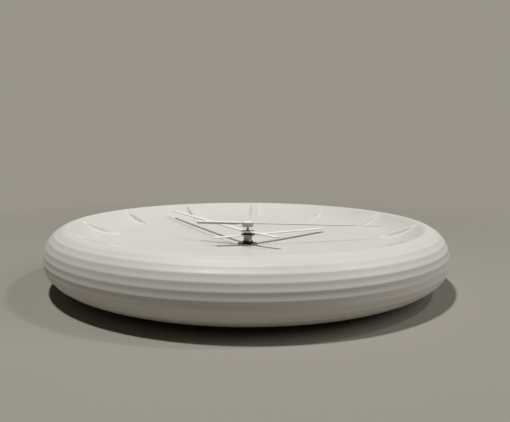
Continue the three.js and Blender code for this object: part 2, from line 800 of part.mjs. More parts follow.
piece('circuit_board', block([-boardX, boardX], [boardLow, boardHigh], [boardBase, boardTop]), finish.board);
piece('control_chip', block(
  [-chipLength / 2, chipLength / 2], [boardY - chipWidth / 2, boardY + chipWidth / 2],
  [partBase, partBase + chipHeight],
), finish.blackPlastic);
piece('quartz_crystal', bar(crystalRadius, 0, crystalLength, 10)
  .rotateY(Math.PI / 2)
  .translate(crystalRight - crystalLength, boardY, partBase + crystalRadius), finish.steel);

// Movement case with its pillars, posts and battery bay

const stripBase = boardBase + 2 * slip;
const stripRoom = contactThickness + pinionOverrun;

function caseShell() {
  const shape = new THREE.Shape();
  [[1, 1, 0], [-1, 1, 90], [-1, -1, 180], [1, -1, 270]].forEach(([x, y, from]) => {
    const cornerX = x * (caseX - caseCorner);
    const cornerY = y > 0 ? caseHigh - caseCorner : caseLow + caseCorner;
    shape.absarc(cornerX, cornerY, caseCorner, radians(from), radians(from + 90), false);
  });
  const rear = caseBack - past;
  const stripHigh = stripBase + contactStripWidth + pinionOverrun;
  const stripSlot = (from, to) =>
    block([from, to], [dividerLow - past, dividerHigh + past], [coverFront, stripHigh]);
  return cut(
    slab(shape, caseBack, caseFront, 3),
    block([-caseInnerX, caseInnerX], [dividerHigh, caseInnerHigh], [rear, chamberFront]),
    block([-caseInnerX, caseInnerX], [bayLow, dividerLow], [rear, chamberFront]),
    block([-caseX - past, caseX + past], [dividerLow - seat, caseHigh + past], [rear, coverFront + seat]),
    stripSlot(-caseInnerX, stripRoom - caseInnerX),
    stripSlot(caseInnerX - stripRoom, caseInnerX),
  );
}

function movementCase() {
  const post = (place, low, radius) => barAt(place, radius, low, chamberFront + wideLevelGap, 10);
  const limb = (x, y = coreY) => new THREE.Vector2(x + statorLimb / 2, y);
  const pivotBossBase = level(motionPinionEnd) + 2 * slip;
  const boardPosts = [-1, 1].map((side) => new THREE.Vector2(side * boardPostX, boardY));
  const posts = [
    ...pillars.map((place) => post(place, level(bridgeEnd) + seat, pillarRadius)),
    post(limb(coreLeft), coreTop + seat, postRadius),
    post(limb(coreRight - statorLimb), coreTop + seat, postRadius),
    post(limb(coreLeft, rotorAxis.y - statorLimb / 2), statorTop + seat, postRadius),
    ...boardPosts.map((place) => post(place, boardTop + seat, postRadius)),
    post(motionAxis, pivotBossBase, motionPivotRadius + postRadius),
  ];
  return cut(
    join(caseShell(), ...posts),
    bar(bushRadius + slip, chamberFront - past, caseFront + past, 20),
    barAt(motionAxis, motionPivotRadius + slip, pivotBossBase - past, motionPivotTop + slip, 10),
  );
}
piece('movement_case', movementCase(), finish.blackPlastic);

function rearCover() {
  const plate = block([-caseX, caseX], [dividerLow, caseHigh], [caseBack, coverFront]);
  const tab = (x, low) => block(
    [x - coverTabLength / 2, x + coverTabLength / 2], [low, low + coverTabThickness],
    [coverFront - wideLevelGap, coverFront + coverTabHeight]);
  const lowEdge = dividerHigh + 2 * slip;
  const highEdge = caseInnerHigh - 2 * slip - coverTabThickness;
  const tabs = [-1, 1].flatMap((side) => [tab(side * caseX / 2, lowEdge), tab(side * caseX / 2, highEdge)]);
  const pivots = [
    [rotorAxis, arborRadius, intermediateLevel - 2 * slip],
    [intermediateAxis, arborRadius, intermediateLevel],
    [thirdAxis, arborRadius, secondsLevel],
    [centre, secondsArborRadius, secondsLevel],
  ];
  const bosses = pivots.map(([axis, radius, limit]) =>
    barAt(axis, radius + pivotBossWall, coverFront - pivotLength, level(limit) - 2 * slip, 12));
  const holes = pivots.map(([axis, radius]) =>
    barAt(axis, radius + slip, pivotBase - slip, level(thirdLevel), 10));
  const knobHole = barAt(motionAxis, motionArborRadius + 2 * slip, caseBack - past, coverFront + past, 14);
  return cut(join(plate, ...tabs, ...bosses), ...holes, knobHole);
}
piece('rear_cover', rearCover(), finish.blackPlastic);

// Battery and its two contacts

const batteryHeight = caseBack + batteryPlay + batteryRadius;
const alongX = (geometry, x) => geometry.rotateY(Math.PI / 2).translate(x, bayY, batteryHeight);

piece('battery', alongX(turned([
  [0, 0], [batteryRadius - batteryRim, 0], [batteryRadius, batteryRim],
  [batteryRadius, batteryLength - batteryRim], [batteryRadius - batteryRim, batteryLength],
  [batteryNubRadius, batteryLength], [batteryNubRadius, cellLength], [0, cellLength],
], 16), -cellLength / 2), finish.battery);

// A plate at one end of the bay with a bump to the cell and a strip along the wall to the board
function contact(side) {
  const outer = side * (caseInnerX - slip);
  const inner = outer - side * contactThickness;
  const x = [Math.min(outer, inner), Math.max(outer, inner)];
  const plate = block(x,
    [bayLow + contactMargin, dividerLow - contactMargin],
    [caseBack + contactMargin, chamberFront - contactMargin]);
  const lead = block(x,
    [dividerLow - 2 * contactMargin, boardHigh - contactMargin],
    [stripBase, stripBase + contactStripWidth]);
  const reach = contactTravel - slip;
  const bump = turned([
    [0, -slip], [contactBumpRadius, -slip], [contactBumpRadius / 2, reach], [0, reach],
  ], 12).rotateY(-side * Math.PI / 2).translate(inner, bayY, batteryHeight);
  return join(plate, lead, bump);
}
piece('contact_positive', contact(1), finish.steel);
piece('contact_negative', contact(-1), finish.steel);

// Hands

// A group that turns what it holds to a clock angle
function turnedTo(angle) {
  const group = new THREE.Group();
  group.rotation.z = -radians(angle);
  clock.add(group);
  return group;
}

function hourHand() {
  const neck = hourPipeRadius + hourNeckWall;
  const group = turnedTo(hourAngle);
  const blade = block(
    [-hourHandWidth / 2, hourHandWidth / 2], [-hourHandTail, hourHandLength], [hourHandBase, hourHandTop]);
  const hub = bar(hourHubRadius, hourHandBase, hourHandTop, 20);
  const hole = bar(neck + slip, hourHandBase - past, hourHandTop + past, 20);
  piece('hour_hand', cut(join(blade, hub), hole), finish.handWhite, centre, group);
  piece('hour_hand_collar', turned([
    [hourPipeRadius + seat, hourCollarBase], [neck, hourCollarBase],
    [neck, hourFlangeBase], [hourFlangeRadius, hourFlangeBase],
    [hourFlangeRadius, hourFlangeTop], [neck, hourFlangeTop],
    [neck, hourPipeTop], [hourPipeRadius + seat, hourPipeTop],
  ], 16), finish.blackPlastic, centre, group);
}
hourHand();

function minuteHand() {
  const reach = crownRadius - minuteHandMargin;
  const collet = minuteArborRadius + colletWall;
  const group = turnedTo(minuteAngle);
  const blade = strip([
    [-minuteHandTail, minuteHandBase], [minuteHandBend, minuteHandBase],
    [reach, minuteHandBase + minuteTipRise], [reach, minuteHandTop + minuteTipRise],
    [minuteHandBend, minuteHandTop], [-minuteHandTail, minuteHandTop],
  ], minuteHandWidth);
  const hub = bar(minuteHubRadius, minuteHandBase, minuteHandTop, 20);
  const hole = bar(collet + slip, minuteHandBase - past, minuteHandTop + past, 16);
  piece('minute_hand', cut(join(blade, hub), hole), finish.handWhite, centre, group);
  piece('minute_hand_collet', turned([
    [minuteArborRadius + seat, colletBase], [collet, colletBase], [collet, minuteHandTop + seat],
    [colletFlangeRadius, minuteHandTop + seat], [colletFlangeRadius, colletTop],
    [minuteArborRadius + seat, colletTop],
  ], 16), finish.brass, centre, group);
}
minuteHand();

function secondHand() {
  const group = turnedTo(secondAngle);
  const reach = crownRadius - secondHandMargin;
  const sleeveStart = secondHubRadius + socketGap;
  const gripEnd = sleeveStart + counterweightGrip;
  const alongHand = (radius, from, to, sides) =>
    bar(radius, from, to, sides).rotateX(-Math.PI / 2).translate(0, 0, needleHeight);
  const hub = cut(
    bar(secondHubRadius, secondHubBase, secondHubTop, 20),
    bar(pipeRadius + seat, secondHubBase - past, pipeTop + seat, 14),
    alongHand(needleRadius + slip, -sleeveStart, sleeveStart, 8),
  );
  const counterweight = cut(
    alongHand(counterweightRadius, -counterweightReach, -sleeveStart, 12),
    alongHand(needleRadius + slip, -gripEnd - slip, 0, 8),
  );
  const pipe = bar(pipeRadius, pipeBase, pipeTop, 14, secondsArborRadius + seat);
  piece('second_hand_hub', hub, finish.handWhite, centre, group);
  piece('second_hand_pipe', pipe, finish.brass, centre, group);
  piece('second_hand_needle', alongHand(needleRadius, -gripEnd, reach, 8), finish.handWhite, centre, group);
  piece('second_hand_counterweight', counterweight, finish.handWhite, centre, group);
}
secondHand();

export default clock;
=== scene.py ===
"""Ceramic wall clock on its back: finishes, fine meshes, floor, light and camera."""

import logging
import math
from dataclasses import dataclass, field
from enum import Enum
from functools import partial
from typing import Callable, Iterable, Sequence

import bmesh
import bpy
import numpy as np
from mathutils import Matrix, Vector


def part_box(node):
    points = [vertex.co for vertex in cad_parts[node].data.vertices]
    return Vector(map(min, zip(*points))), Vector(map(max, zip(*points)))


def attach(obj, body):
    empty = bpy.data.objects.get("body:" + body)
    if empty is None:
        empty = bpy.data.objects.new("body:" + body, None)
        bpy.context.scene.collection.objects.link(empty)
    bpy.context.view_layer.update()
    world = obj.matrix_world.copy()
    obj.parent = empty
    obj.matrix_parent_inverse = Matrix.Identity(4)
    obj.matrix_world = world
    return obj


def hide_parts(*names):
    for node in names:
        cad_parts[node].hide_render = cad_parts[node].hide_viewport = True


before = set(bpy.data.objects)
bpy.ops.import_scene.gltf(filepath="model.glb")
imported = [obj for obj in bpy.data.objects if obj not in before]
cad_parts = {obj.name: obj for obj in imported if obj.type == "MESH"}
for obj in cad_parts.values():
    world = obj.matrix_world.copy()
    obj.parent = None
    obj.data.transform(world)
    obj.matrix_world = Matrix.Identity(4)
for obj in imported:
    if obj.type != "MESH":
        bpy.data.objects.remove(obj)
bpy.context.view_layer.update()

LOG = logging.getLogger("clock")
MM = 0.001
SAME_POINT = 1e-9
PAST = 1.0
ROUNDED_SHARE = 0.49
TURN = 2 * math.pi

Spot = tuple[float, float]
Corner = tuple[float, float, float]
Colour = tuple[int, int, int]
Socket = bpy.types.NodeSocket
Piece = bpy.types.Object
Move = Callable[[np.ndarray], np.ndarray]


class Slot(Enum):
    """The record's material slots."""

    CERAMIC = "ceramic"
    HAND_WHITE = "hand_white"
    BRASS = "brass"
    WASHER_BRASS = "washer_brass"
    DARK_STEEL = "dark_steel"
    ZINC = "zinc"
    BLACK_PLASTIC = "black_plastic"
    GEAR_PLASTIC = "gear_plastic"
    RUBBER = "rubber"
    STEEL = "steel"
    COPPER = "copper"
    BOARD = "board"
    BATTERY = "battery"


class Body(Enum):
    """The moving bodies that new pieces ride on."""

    CLOCK = "clock_body"
    CELL = "battery_cell"
    SECONDS = "seconds"
    MINUTES = "minutes"
    HOURS = "hours"
    MOTION_WORK = "motion_work"


class Merge(Enum):
    """How other solids change a piece."""

    CUT = "DIFFERENCE"
    OVERLAP = "INTERSECT"


class Marks(Enum):
    """The direction in which a finish carries its fine marks."""

    NONE = "none"
    RINGS = "rings"
    LENGTHWISE = "lengthwise"


# Finishes


def linear(colour: Colour, gain: float = 1.0) -> tuple[float, ...]:
    """Turn an 8-bit sRGB colour into a linear one.

    Args:
        colour: Red, green and blue from 0 to 255.
        gain: A factor on the linear values.

    Returns:
        Red, green, blue and alpha.
    """
    shares = [value / 255 for value in colour]
    values = [s / 12.92 if s <= 0.04045 else ((s + 0.055) / 1.055) ** 2.4 for s in shares]
    return tuple(min(1.0, value * gain) for value in values) + (1.0,)


class Tree:
    """Short calls that fill the nodes of a material or a world."""

    def __init__(self, owner: bpy.types.ID) -> None:
        """Start from an empty tree.

        Args:
            owner: The material or the world.
        """
        owner.use_nodes = True
        self.nodes = owner.node_tree.nodes
        self.links = owner.node_tree.links
        self.nodes.clear()

    def join(self, source: object, target: Socket) -> None:
        """Link an output to an input, or set the input's own value.

        Args:
            source: An output socket or a value.
            target: The input.
        """
        if isinstance(source, Socket):
            self.links.new(source, target)
        else:
            target.default_value = source

    def add(self, kind: str, *inputs: object, **values: object) -> bpy.types.Node:
        """Add a node.

        Args:
            kind: The node's type without its ShaderNode prefix.
            inputs: An output or a value for each of the first inputs.
            values: The node's attributes, and outputs or values for inputs by name.

        Returns:
            The new node.
        """
        node = self.nodes.new("ShaderNode" + kind)
        for name, value in values.items():
            if hasattr(node, name):
                setattr(node, name, value)
            else:
                self.join(value, node.inputs[name.replace("_", " ")])
        for source, target in zip(inputs, node.inputs):
            self.join(source, target)
        return node

    def noise(self, place: Socket, scale: float, detail: float = 3.0) -> Socket:
        """A noise from 0 to 1 at a place, with its cells per metre and its octaves."""
        return self.add("TexNoise", Vector=place, Scale=scale, Detail=detail, Roughness=0.55).outputs["Fac"]

    def span(self, value: Socket, low: float, high: float, start: float = 0.3, end: float = 0.7) -> Socket:
        """A value mapped to low at start and to high at end."""
        ends = {"From_Min": start, "From_Max": end, "To_Min": low, "To_Max": high}
        return self.add("MapRange", Value=value, **ends).outputs["Result"]

    def blend(self, share: Socket, first: object, second: object) -> Socket:
        """Mix two colours.

        Args:
            share: The share of the second colour.
            first: A colour or a colour socket.
            second: A colour or a colour socket.

        Returns:
            The mixed colour.
        """
        node = self.add("Mix", data_type="RGBA", Factor=share)
        self.join(first, node.inputs[6])
        self.join(second, node.inputs[7])
        return node.outputs[2]

    def math(self, operation: str, first: Socket, *others: Socket) -> Socket:
        """Take values together, one after another.

        Args:
            operation: The operation, such as ADD.
            first: The first value.
            others: The other values.

        Returns:
            The result.
        """
        for other in others:
            first = self.add("Math", first, other, operation=operation).outputs["Value"]
        return first

    def length(self, vector: Socket) -> Socket:
        """The length of a vector."""
        return self.add("VectorMath", vector, operation="LENGTH").outputs["Value"]


@dataclass(frozen=True)
class Finish:
    """A procedural finish: tone that drifts, roughness that varies and a fine relief."""

    name: str
    slot: Slot
    colour: Colour
    roughness: float
    metallic: float = 0.0
    specular: float = 0.5
    drift: float = 0.04
    drift_scale: float = 60.0
    speckle: float = 0.02
    speckle_scale: float = 2500.0
    speckle_gain: float = 0.25
    speckle_edges: Spot = (0.35, 0.75)
    polish: float = 0.06
    polish_scale: float = 4.0
    relief: float = 4e-6
    relief_scale: float = 2500.0
    marks: Marks = Marks.NONE
    mark_pitch: float = 0.0003
    mark_depth: float = 3e-6

    def tone(self, tree: Tree, place: Socket) -> Socket:
        """Work out the colour over the surface.

        Args:
            tree: The material's nodes.
            place: The object's coordinates.

        Returns:
            The base colour.
        """
        slow = tree.span(tree.noise(place, self.drift_scale), 0.0, 1.0)
        darker, lighter = (linear(self.colour, 1 + gain) for gain in (-self.drift, self.drift))
        broad = tree.blend(slow, darker, lighter)
        fine = tree.span(tree.noise(place, self.speckle_scale, 2.0), 0.0, 1.0, *self.speckle_edges)
        share = tree.span(fine, 0.0, self.speckle, 0.0, 1.0)
        return tree.blend(share, broad, linear(self.colour, self.speckle_gain))

    def height(self, tree: Tree, place: Socket) -> Socket:
        """Work out the fine relief.

        Args:
            tree: The material's nodes.
            place: The object's coordinates.

        Returns:
            The height over the surface, in metres.
        """
        grain = tree.span(tree.noise(place, self.relief_scale, 4.0), 0.0, self.relief)
        if self.marks is Marks.NONE:
            return grain
        x, y, z = tree.add("SeparateXYZ", place).outputs
        if self.marks is Marks.RINGS:
            y = tree.math("ADD", tree.length(tree.add("CombineXYZ", x, y).outputs["Vector"]), z)
        lines = tree.noise(tree.add("CombineXYZ", y).outputs["Vector"], 1 / self.mark_pitch, 2.0)
        return tree.math("ADD", grain, tree.span(lines, 0.0, self.mark_depth))

    def make(self) -> bpy.types.Material:
        """Build the material, or find the one that is built already.

        Returns:
            The finish's material.
        """
        if self.name in bpy.data.materials:
            return bpy.data.materials[self.name]
        material = bpy.data.materials.new(self.name)
        tree = Tree(material)
        place = tree.add("TexCoord").outputs["Object"]
        wear = tree.noise(place, self.drift_scale * self.polish_scale)
        bump = tree.add("Bump", Strength=1.0, Distance=1.0, Height=self.height(tree, place))
        shader = tree.add(
            "BsdfPrincipled", Metallic=self.metallic, Specular_IOR_Level=self.specular,
            Base_Color=self.tone(tree, place), Normal=bump.outputs["Normal"],
            Roughness=tree.span(wear, self.roughness - self.polish, self.roughness + self.polish))
        tree.add("OutputMaterial", shader.outputs["BSDF"])
        return material


@dataclass(frozen=True)
class BisqueFinish(Finish):
    """Matte fired clay: a soft hand-smoothed surface with tiny pores."""

    pore_depth: float = 1.5e-5
    pore_scale: float = 900.0
    pore_edges: Spot = (0.05, 0.16)
    swell: float = 4e-5
    swell_scale: float = 45.0
    swell_edges: Spot = (0.2, 0.8)

    def height(self, tree: Tree, place: Socket) -> Socket:
        """Add pores and a slow swell to the grain.

        Args:
            tree: The material's nodes.
            place: The object's coordinates.

        Returns:
            The height over the surface, in metres.
        """
        grain = super().height(tree, place)
        cells = tree.add("TexVoronoi", Vector=place, Scale=self.pore_scale).outputs["Distance"]
        pores = tree.span(cells, -self.pore_depth, 0.0, *self.pore_edges)
        slow = tree.span(tree.noise(place, self.swell_scale, 1.0), 0.0, self.swell, *self.swell_edges)
        return tree.math("ADD", grain, pores, slow)


@dataclass(frozen=True)
class PaintWithShadedSidesFinish(Finish):
    """White paint on the faces that look up, with a grey on the sides and the underside that is painted
    shade.
    """

    # Painted shade: the grey on the sides and undersides of the hands.
    side_shade: Colour = (176, 174, 171)
    start: float = 0.15
    end: float = 0.55

    def tone(self, tree: Tree, place: Socket) -> Socket:
        """Blend the paint in where the surface looks up, over the grey painted shade of the sides and
        underside.

        Args:
            tree: The material's nodes.
            place: The object's coordinates.

        Returns:
            The base colour.
        """
        upward = tree.add("SeparateXYZ", place.node.outputs["Normal"]).outputs["Z"]
        share = tree.span(upward, 0.0, 1.0, self.start, self.end)
        return tree.blend(share, linear(self.side_shade), super().tone(tree, place))


@dataclass(frozen=True)
class BandedFinish(Finish):
    """A finish with a second colour far from a centre along some axes, as on the uncovered metal end of a
    cell's sleeve, or painted shade on a washer's top and lower edge.
    """

    second: Colour = (60, 60, 60)
    centre: Corner = (0.0, 0.0, 0.0)
    axes: Corner = (1.0, 1.0, 0.0)
    start: float = 0.007
    end: float = 0.008

    def tone(self, tree: Tree, place: Socket) -> Socket:
        """Blend the second colour in with the distance from the centre along the axes.

        Args:
            tree: The material's nodes.
            place: The object's coordinates.

        Returns:
            The base colour.
        """
        moved = tree.add("VectorMath", place, self.centre, operation="SUBTRACT").outputs["Vector"]
        scaled = tree.add("VectorMath", moved, self.axes, operation="MULTIPLY").outputs["Vector"]
        share = tree.span(tree.length(scaled), 0.0, 1.0, self.start, self.end)
        return tree.blend(share, super().tone(tree, place), linear(self.second))


CERAMIC = BisqueFinish(
    "fired_clay", Slot.CERAMIC, (221, 217, 211), 0.48, drift=0.012, drift_scale=28.0, speckle=0.035,
    speckle_scale=1500.0, polish=0.05, relief=1e-5, relief_scale=1800.0)
# The hands: white paint on top, painted shade on their sides and undersides.
HAND_PAINT = PaintWithShadedSidesFinish(
    "white_hand_paint", Slot.HAND_WHITE, (250, 249, 249), 0.5, specular=0.2, drift=0.01, speckle=0.01,
    polish=0.04, relief=3e-6, relief_scale=4000.0)
COLLET_BRASS = Finish(
    "collet_brass", Slot.BRASS, (214, 193, 184), 0.34, metallic=1.0, drift=0.08, drift_scale=300.0,
    marks=Marks.RINGS, mark_pitch=0.00012)
PIPE_BRASS = Finish(
    "pipe_brass", Slot.BRASS, (158, 92, 34), 0.3, metallic=1.0, drift=0.1, drift_scale=500.0,
    marks=Marks.RINGS, mark_pitch=0.0001)
# The washer: brass, darker brown on its top face and lower edge, which is painted shade and a painted
# contact shadow.
WASHER_BRASS = BandedFinish(
    "washer_brass_painted_shade", Slot.WASHER_BRASS, (172, 158, 126), 0.36, metallic=1.0, drift=0.12,
    drift_scale=350.0, marks=Marks.RINGS, mark_pitch=0.0002, mark_depth=6e-6, second=(92, 78, 56),
    centre=(0.0, 0.0, 0.02895), axes=(0.0, 0.0, 1.0), start=0.0003, end=0.00045)
BLACKED_STEEL = Finish(
    "blacked_steel", Slot.DARK_STEEL, (42, 40, 38), 0.42, metallic=1.0, drift=0.15, drift_scale=400.0,
    speckle=0.1, relief=5e-6)
ZINC = Finish(
    "zinc_plate", Slot.ZINC, (182, 184, 184), 0.34, metallic=1.0, drift=0.08, drift_scale=400.0,
    marks=Marks.RINGS, mark_pitch=0.00015)
BLACK_PLASTIC = Finish(
    "black_moulding", Slot.BLACK_PLASTIC, (30, 30, 32), 0.5, specular=0.45, drift=0.1, drift_scale=120.0,
    speckle=0.05, polish=0.08, relief=1.2e-5, relief_scale=3500.0)
COLLAR_PLASTIC = Finish(
    "collar_moulding", Slot.BLACK_PLASTIC, (24, 24, 25), 0.36, drift=0.08, drift_scale=300.0,
    marks=Marks.RINGS, mark_pitch=0.0002)
GEAR_PLASTIC = Finish("gear_acetal", Slot.GEAR_PLASTIC, (228, 224, 210), 0.44, drift_scale=200.0)
RUBBER = Finish(
    "gasket_rubber", Slot.RUBBER, (36, 36, 37), 0.85, specular=0.25, drift=0.12, drift_scale=200.0,
    speckle=0.12, relief=1.5e-5, relief_scale=3000.0)
STEEL = Finish(
    "plated_steel", Slot.STEEL, (172, 174, 176), 0.32, metallic=1.0, drift=0.06, drift_scale=90.0,
    marks=Marks.LENGTHWISE, mark_pitch=0.0004, mark_depth=4e-6)
COPPER = Finish(
    "enamelled_copper", Slot.COPPER, (182, 98, 58), 0.34, metallic=0.9, drift=0.1, drift_scale=500.0)
BOARD = Finish(
    "circuit_laminate", Slot.BOARD, (44, 104, 66), 0.45, drift=0.15, drift_scale=900.0, relief=8e-6,
    relief_scale=1500.0)
CELL_METAL = Finish(
    "cell_metal", Slot.BATTERY, (178, 180, 182), 0.28, metallic=1.0, drift=0.06, drift_scale=400.0,
    marks=Marks.RINGS)


# Mesh tools


def softened(corners: Iterable[Corner], steps: int = 5) -> list[Spot]:
    """Round the corners of a closed outline.

    Args:
        corners: X, Y and rounding of each corner.
        steps: Points on each rounding, less one.

    Returns:
        The outline's points.
    """
    corners = list(corners)
    points: list[Spot] = []
    for index, (x, y, size) in enumerate(corners):
        here = Vector((x, y))
        before = Vector(corners[index - 1][:2]) - here
        after = Vector(corners[(index + 1) % len(corners)][:2]) - here
        reach = min(size, ROUNDED_SHARE * before.length, ROUNDED_SHARE * after.length)
        if reach <= 0:
            points.append((x, y))
            continue
        start = here + before.normalized() * reach
        end = here + after.normalized() * reach
        for step in range(steps + 1):
            t = step / steps
            points.append(tuple(start * (1 - t) ** 2 + here * (2 * t * (1 - t)) + end * t ** 2))
    return points


def shaded(mesh: bpy.types.Mesh, sharp: float) -> None:
    """Shade a mesh smooth up to an angle in degrees between its faces."""
    mesh.shade_smooth()
    mesh.set_sharp_from_angle(angle=math.radians(sharp))


def made(name: str, points: Iterable[Sequence[float]], faces: Iterable[Sequence[int]],
         sharp: float = 35.0) -> Piece:
    """Make a piece from points in millimetres.

    Args:
        name: The piece's name.
        points: The corners, in millimetres.
        faces: The corners of each face, by index.
        sharp: The angle in degrees from which an edge stays sharp.

    Returns:
        The new piece.
    """
    mesh = bpy.data.meshes.new(name)
    mesh.from_pydata((np.asarray(points, float) * MM).tolist(), [], list(faces))
    work = bmesh.new()
    work.from_mesh(mesh)
    bmesh.ops.delete(work, geom=[point for point in work.verts if not point.link_faces], context="VERTS")
    bmesh.ops.recalc_face_normals(work, faces=work.faces)
    work.to_mesh(mesh)
    work.free()
    shaded(mesh, sharp)
    piece = bpy.data.objects.new(name, mesh)
    bpy.context.scene.collection.objects.link(piece)
    return piece


def woven(name: str, rows: np.ndarray, sharp: float) -> Piece:
    """Make a piece from rows of points that close both ways.

    Args:
        name: The piece's name.
        rows: The points by row and column, in millimetres. A row of equal points counts as one point.
        sharp: The angle in degrees from which an edge stays sharp.

    Returns:
        The new piece.
    """
    index = np.arange(rows.shape[0] * rows.shape[1]).reshape(rows.shape[:2])
    poles = np.ptp(rows, axis=1).max(axis=1) < SAME_POINT
    index[poles] = index[poles, :1]
    below = np.roll(index, -1, axis=0)
    quads = np.stack([index, np.roll(index, -1, axis=1), np.roll(below, -1, axis=1), below], 2)
    faces = (list(dict.fromkeys(quad)) for quad in quads.reshape(-1, 4).tolist())
    return made(name, rows.reshape(-1, 3), (face for face in faces if len(face) > 2), sharp)


def turned(name: str, profile: Sequence[Spot], sides: int = 96, sharp: float = 35.0,
           place: Move | None = None) -> Piece:
    """Turn a closed profile about the vertical axis.

    Args:
        name: The piece's name.
        profile: Radius and height of each corner, in millimetres.
        sides: Steps round the axis.
        sharp: The angle in degrees from which an edge stays sharp.
        place: Moves the finished points, if given.

    Returns:
        The new piece.
    """
    angles = np.arange(sides) * TURN / sides
    radius, height = np.array(profile).T[:, :, None]
    points = np.stack([radius * np.cos(angles), radius * np.sin(angles), height + 0 * angles], 2)
    if place:
        points = place(points.reshape(-1, 3)).reshape(points.shape)
    return woven(name, points, sharp)


def extruded(name: str, outline: Sequence[Spot], low: float, high: float) -> Piece:
    """Raise a closed outline between two heights.

    Args:
        name: The piece's name.
        outline: The outline's points, in millimetres.
        low: The lower height.
        high: The upper height.

    Returns:
        The new piece.
    """
    count = len(outline)
    points = [(x, y, z) for z in (low, high) for x, y in outline]
    sides = [(i, (i + 1) % count, count + (i + 1) % count, count + i) for i in range(count)]
    return made(name, points, sides + [tuple(range(count))[::-1], tuple(range(count, 2 * count))])


def block(low: Sequence[float], high: Sequence[float]) -> Piece:
    """A box between two corners, in millimetres."""
    outline = [(low[0], low[1]), (high[0], low[1]), (high[0], high[1]), (low[0], high[1])]
    return extruded("block", outline, low[2], high[2])


def rod(radius: float, low: float, high: float, centre: Spot = (0.0, 0.0), sides: int = 48) -> Piece:
    """Make an upright round bar.

    Args:
        radius: Its radius, in millimetres.
        low: Its lower end.
        high: Its upper end.
        centre: The spot of its axis.
        sides: Steps round it.

    Returns:
        The new piece.
    """
    angles = [TURN * side / sides for side in range(sides)]
    ring = [(centre[0] + radius * math.cos(a), centre[1] + radius * math.sin(a)) for a in angles]
    return extruded("rod", ring, low, high)


def merged(piece: Piece, others: Iterable[Piece], how: Merge) -> Piece:
    """Change a piece by other solids, and delete them.

    Args:
        piece: The piece that changes.
        others: The solids that are cut from it or limit it.
        how: Which of the two.

    Returns:
        The changed piece.
    """
    others = list(others)
    for other in others:
        step = piece.modifiers.new(other.name, "BOOLEAN")
        step.operation = how.value
        step.object = other
        step.solver = "EXACT"
    graph = bpy.context.evaluated_depsgraph_get()
    mesh = bpy.data.meshes.new_from_object(piece.evaluated_get(graph))
    piece.modifiers.clear()
    mesh.name = piece.name
    piece.data = mesh
    for other in others:
        bpy.data.objects.remove(other, do_unlink=True)
    return piece


def eased(piece: Piece, width: float, steps: int = 2, angle: float = 32.0) -> None:
    """Round a piece's sharp edges with a bevel.

    Args:
        piece: The piece.
        width: The bevel's width, in millimetres.
        steps: Its segments.
        angle: The angle in degrees from which an edge is bevelled.
    """
    bevel = piece.modifiers.new("eased_edges", "BEVEL")
    bevel.width = width * MM
    bevel.segments = steps
    bevel.limit_method = "ANGLE"
    bevel.angle_limit = math.radians(angle)
    bevel.harden_normals = True
    bevel.miter_outer = "MITER_ARC"


def coated(piece: Piece, finish: Finish) -> None:
    """Give a piece its finish.

    Args:
        piece: The piece.
        finish: Its finish.
    """
    piece.data.materials.clear()
    piece.data.materials.append(finish.make())


def dressed(piece: Piece, finish: Finish, body: Body, node: str) -> None:
    """Give a new piece its finish and its body, and let it stand for its node.

    Args:
        piece: The piece, in place.
        finish: Its finish.
        body: The body that it rides on.
        node: The node that it replaces.
    """
    coated(piece, finish)
    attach(piece, body.value)
    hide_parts(node)
    points = len(piece.data.vertices)
    LOG.info("%s: %d points, %s, rides on %s", piece.name, points, finish.name, body.value)


@dataclass(frozen=True)
class Extent:
    """The space of a node at rest, in millimetres: two corners and the bore about the clock's axis."""

    low: Vector
    high: Vector
    bore: float

    @classmethod
    def of(cls, node: str) -> "Extent":
        """Measure a node.

        Args:
            node: Its name.

        Returns:
            Its extent.
        """
        low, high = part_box(node)
        bore = min(vertex.co.xy.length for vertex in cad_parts[node].data.vertices)
        return cls(low / MM, high / MM, bore / MM)

    @property
    def centre(self) -> Vector:
        """The middle of the extent."""
        return (self.low + self.high) / 2

    @property
    def radius(self) -> float:
        """Half the extent along X."""
        return (self.high.x - self.low.x) / 2

    @property
    def ring(self) -> tuple[float, float, float, float]:
        """Bore, lower end, upper end and radius of a round node."""
        return self.bore, self.low.z, self.high.z, self.radius


def unit(rows: np.ndarray) -> np.ndarray:
    """The same directions, each with length 1."""
    return rows / np.linalg.norm(rows, axis=1)[:, None]


def bezier(points: Sequence[Spot], t: np.ndarray) -> np.ndarray:
    """Points on a cubic curve.

    Args:
        points: Its four control points.
        t: Parameters from 0 to 1.

    Returns:
        One row of two numbers for each parameter.
    """
    a, b, c, d = (np.array(point) for point in points)
    t = t[:, None]
    return a * (1 - t) ** 3 + 3 * b * t * (1 - t) ** 2 + 3 * c * t ** 2 * (1 - t) + d * t ** 3


# Ceramic body


@dataclass(frozen=True)
class SectionSteps:
    """How many points each stretch of the body's section has."""

    bowl: int = 26
    bowl_edge: int = 4
    slope: int = 34
    crown: int = 9
    cove: int = 12
    belly: int = 18
    rim: int = 600
    inner_rim: int = 40
    corner: int = 4
    under_slope: int = 14
    under_bowl: int = 16
    relief: int = 200


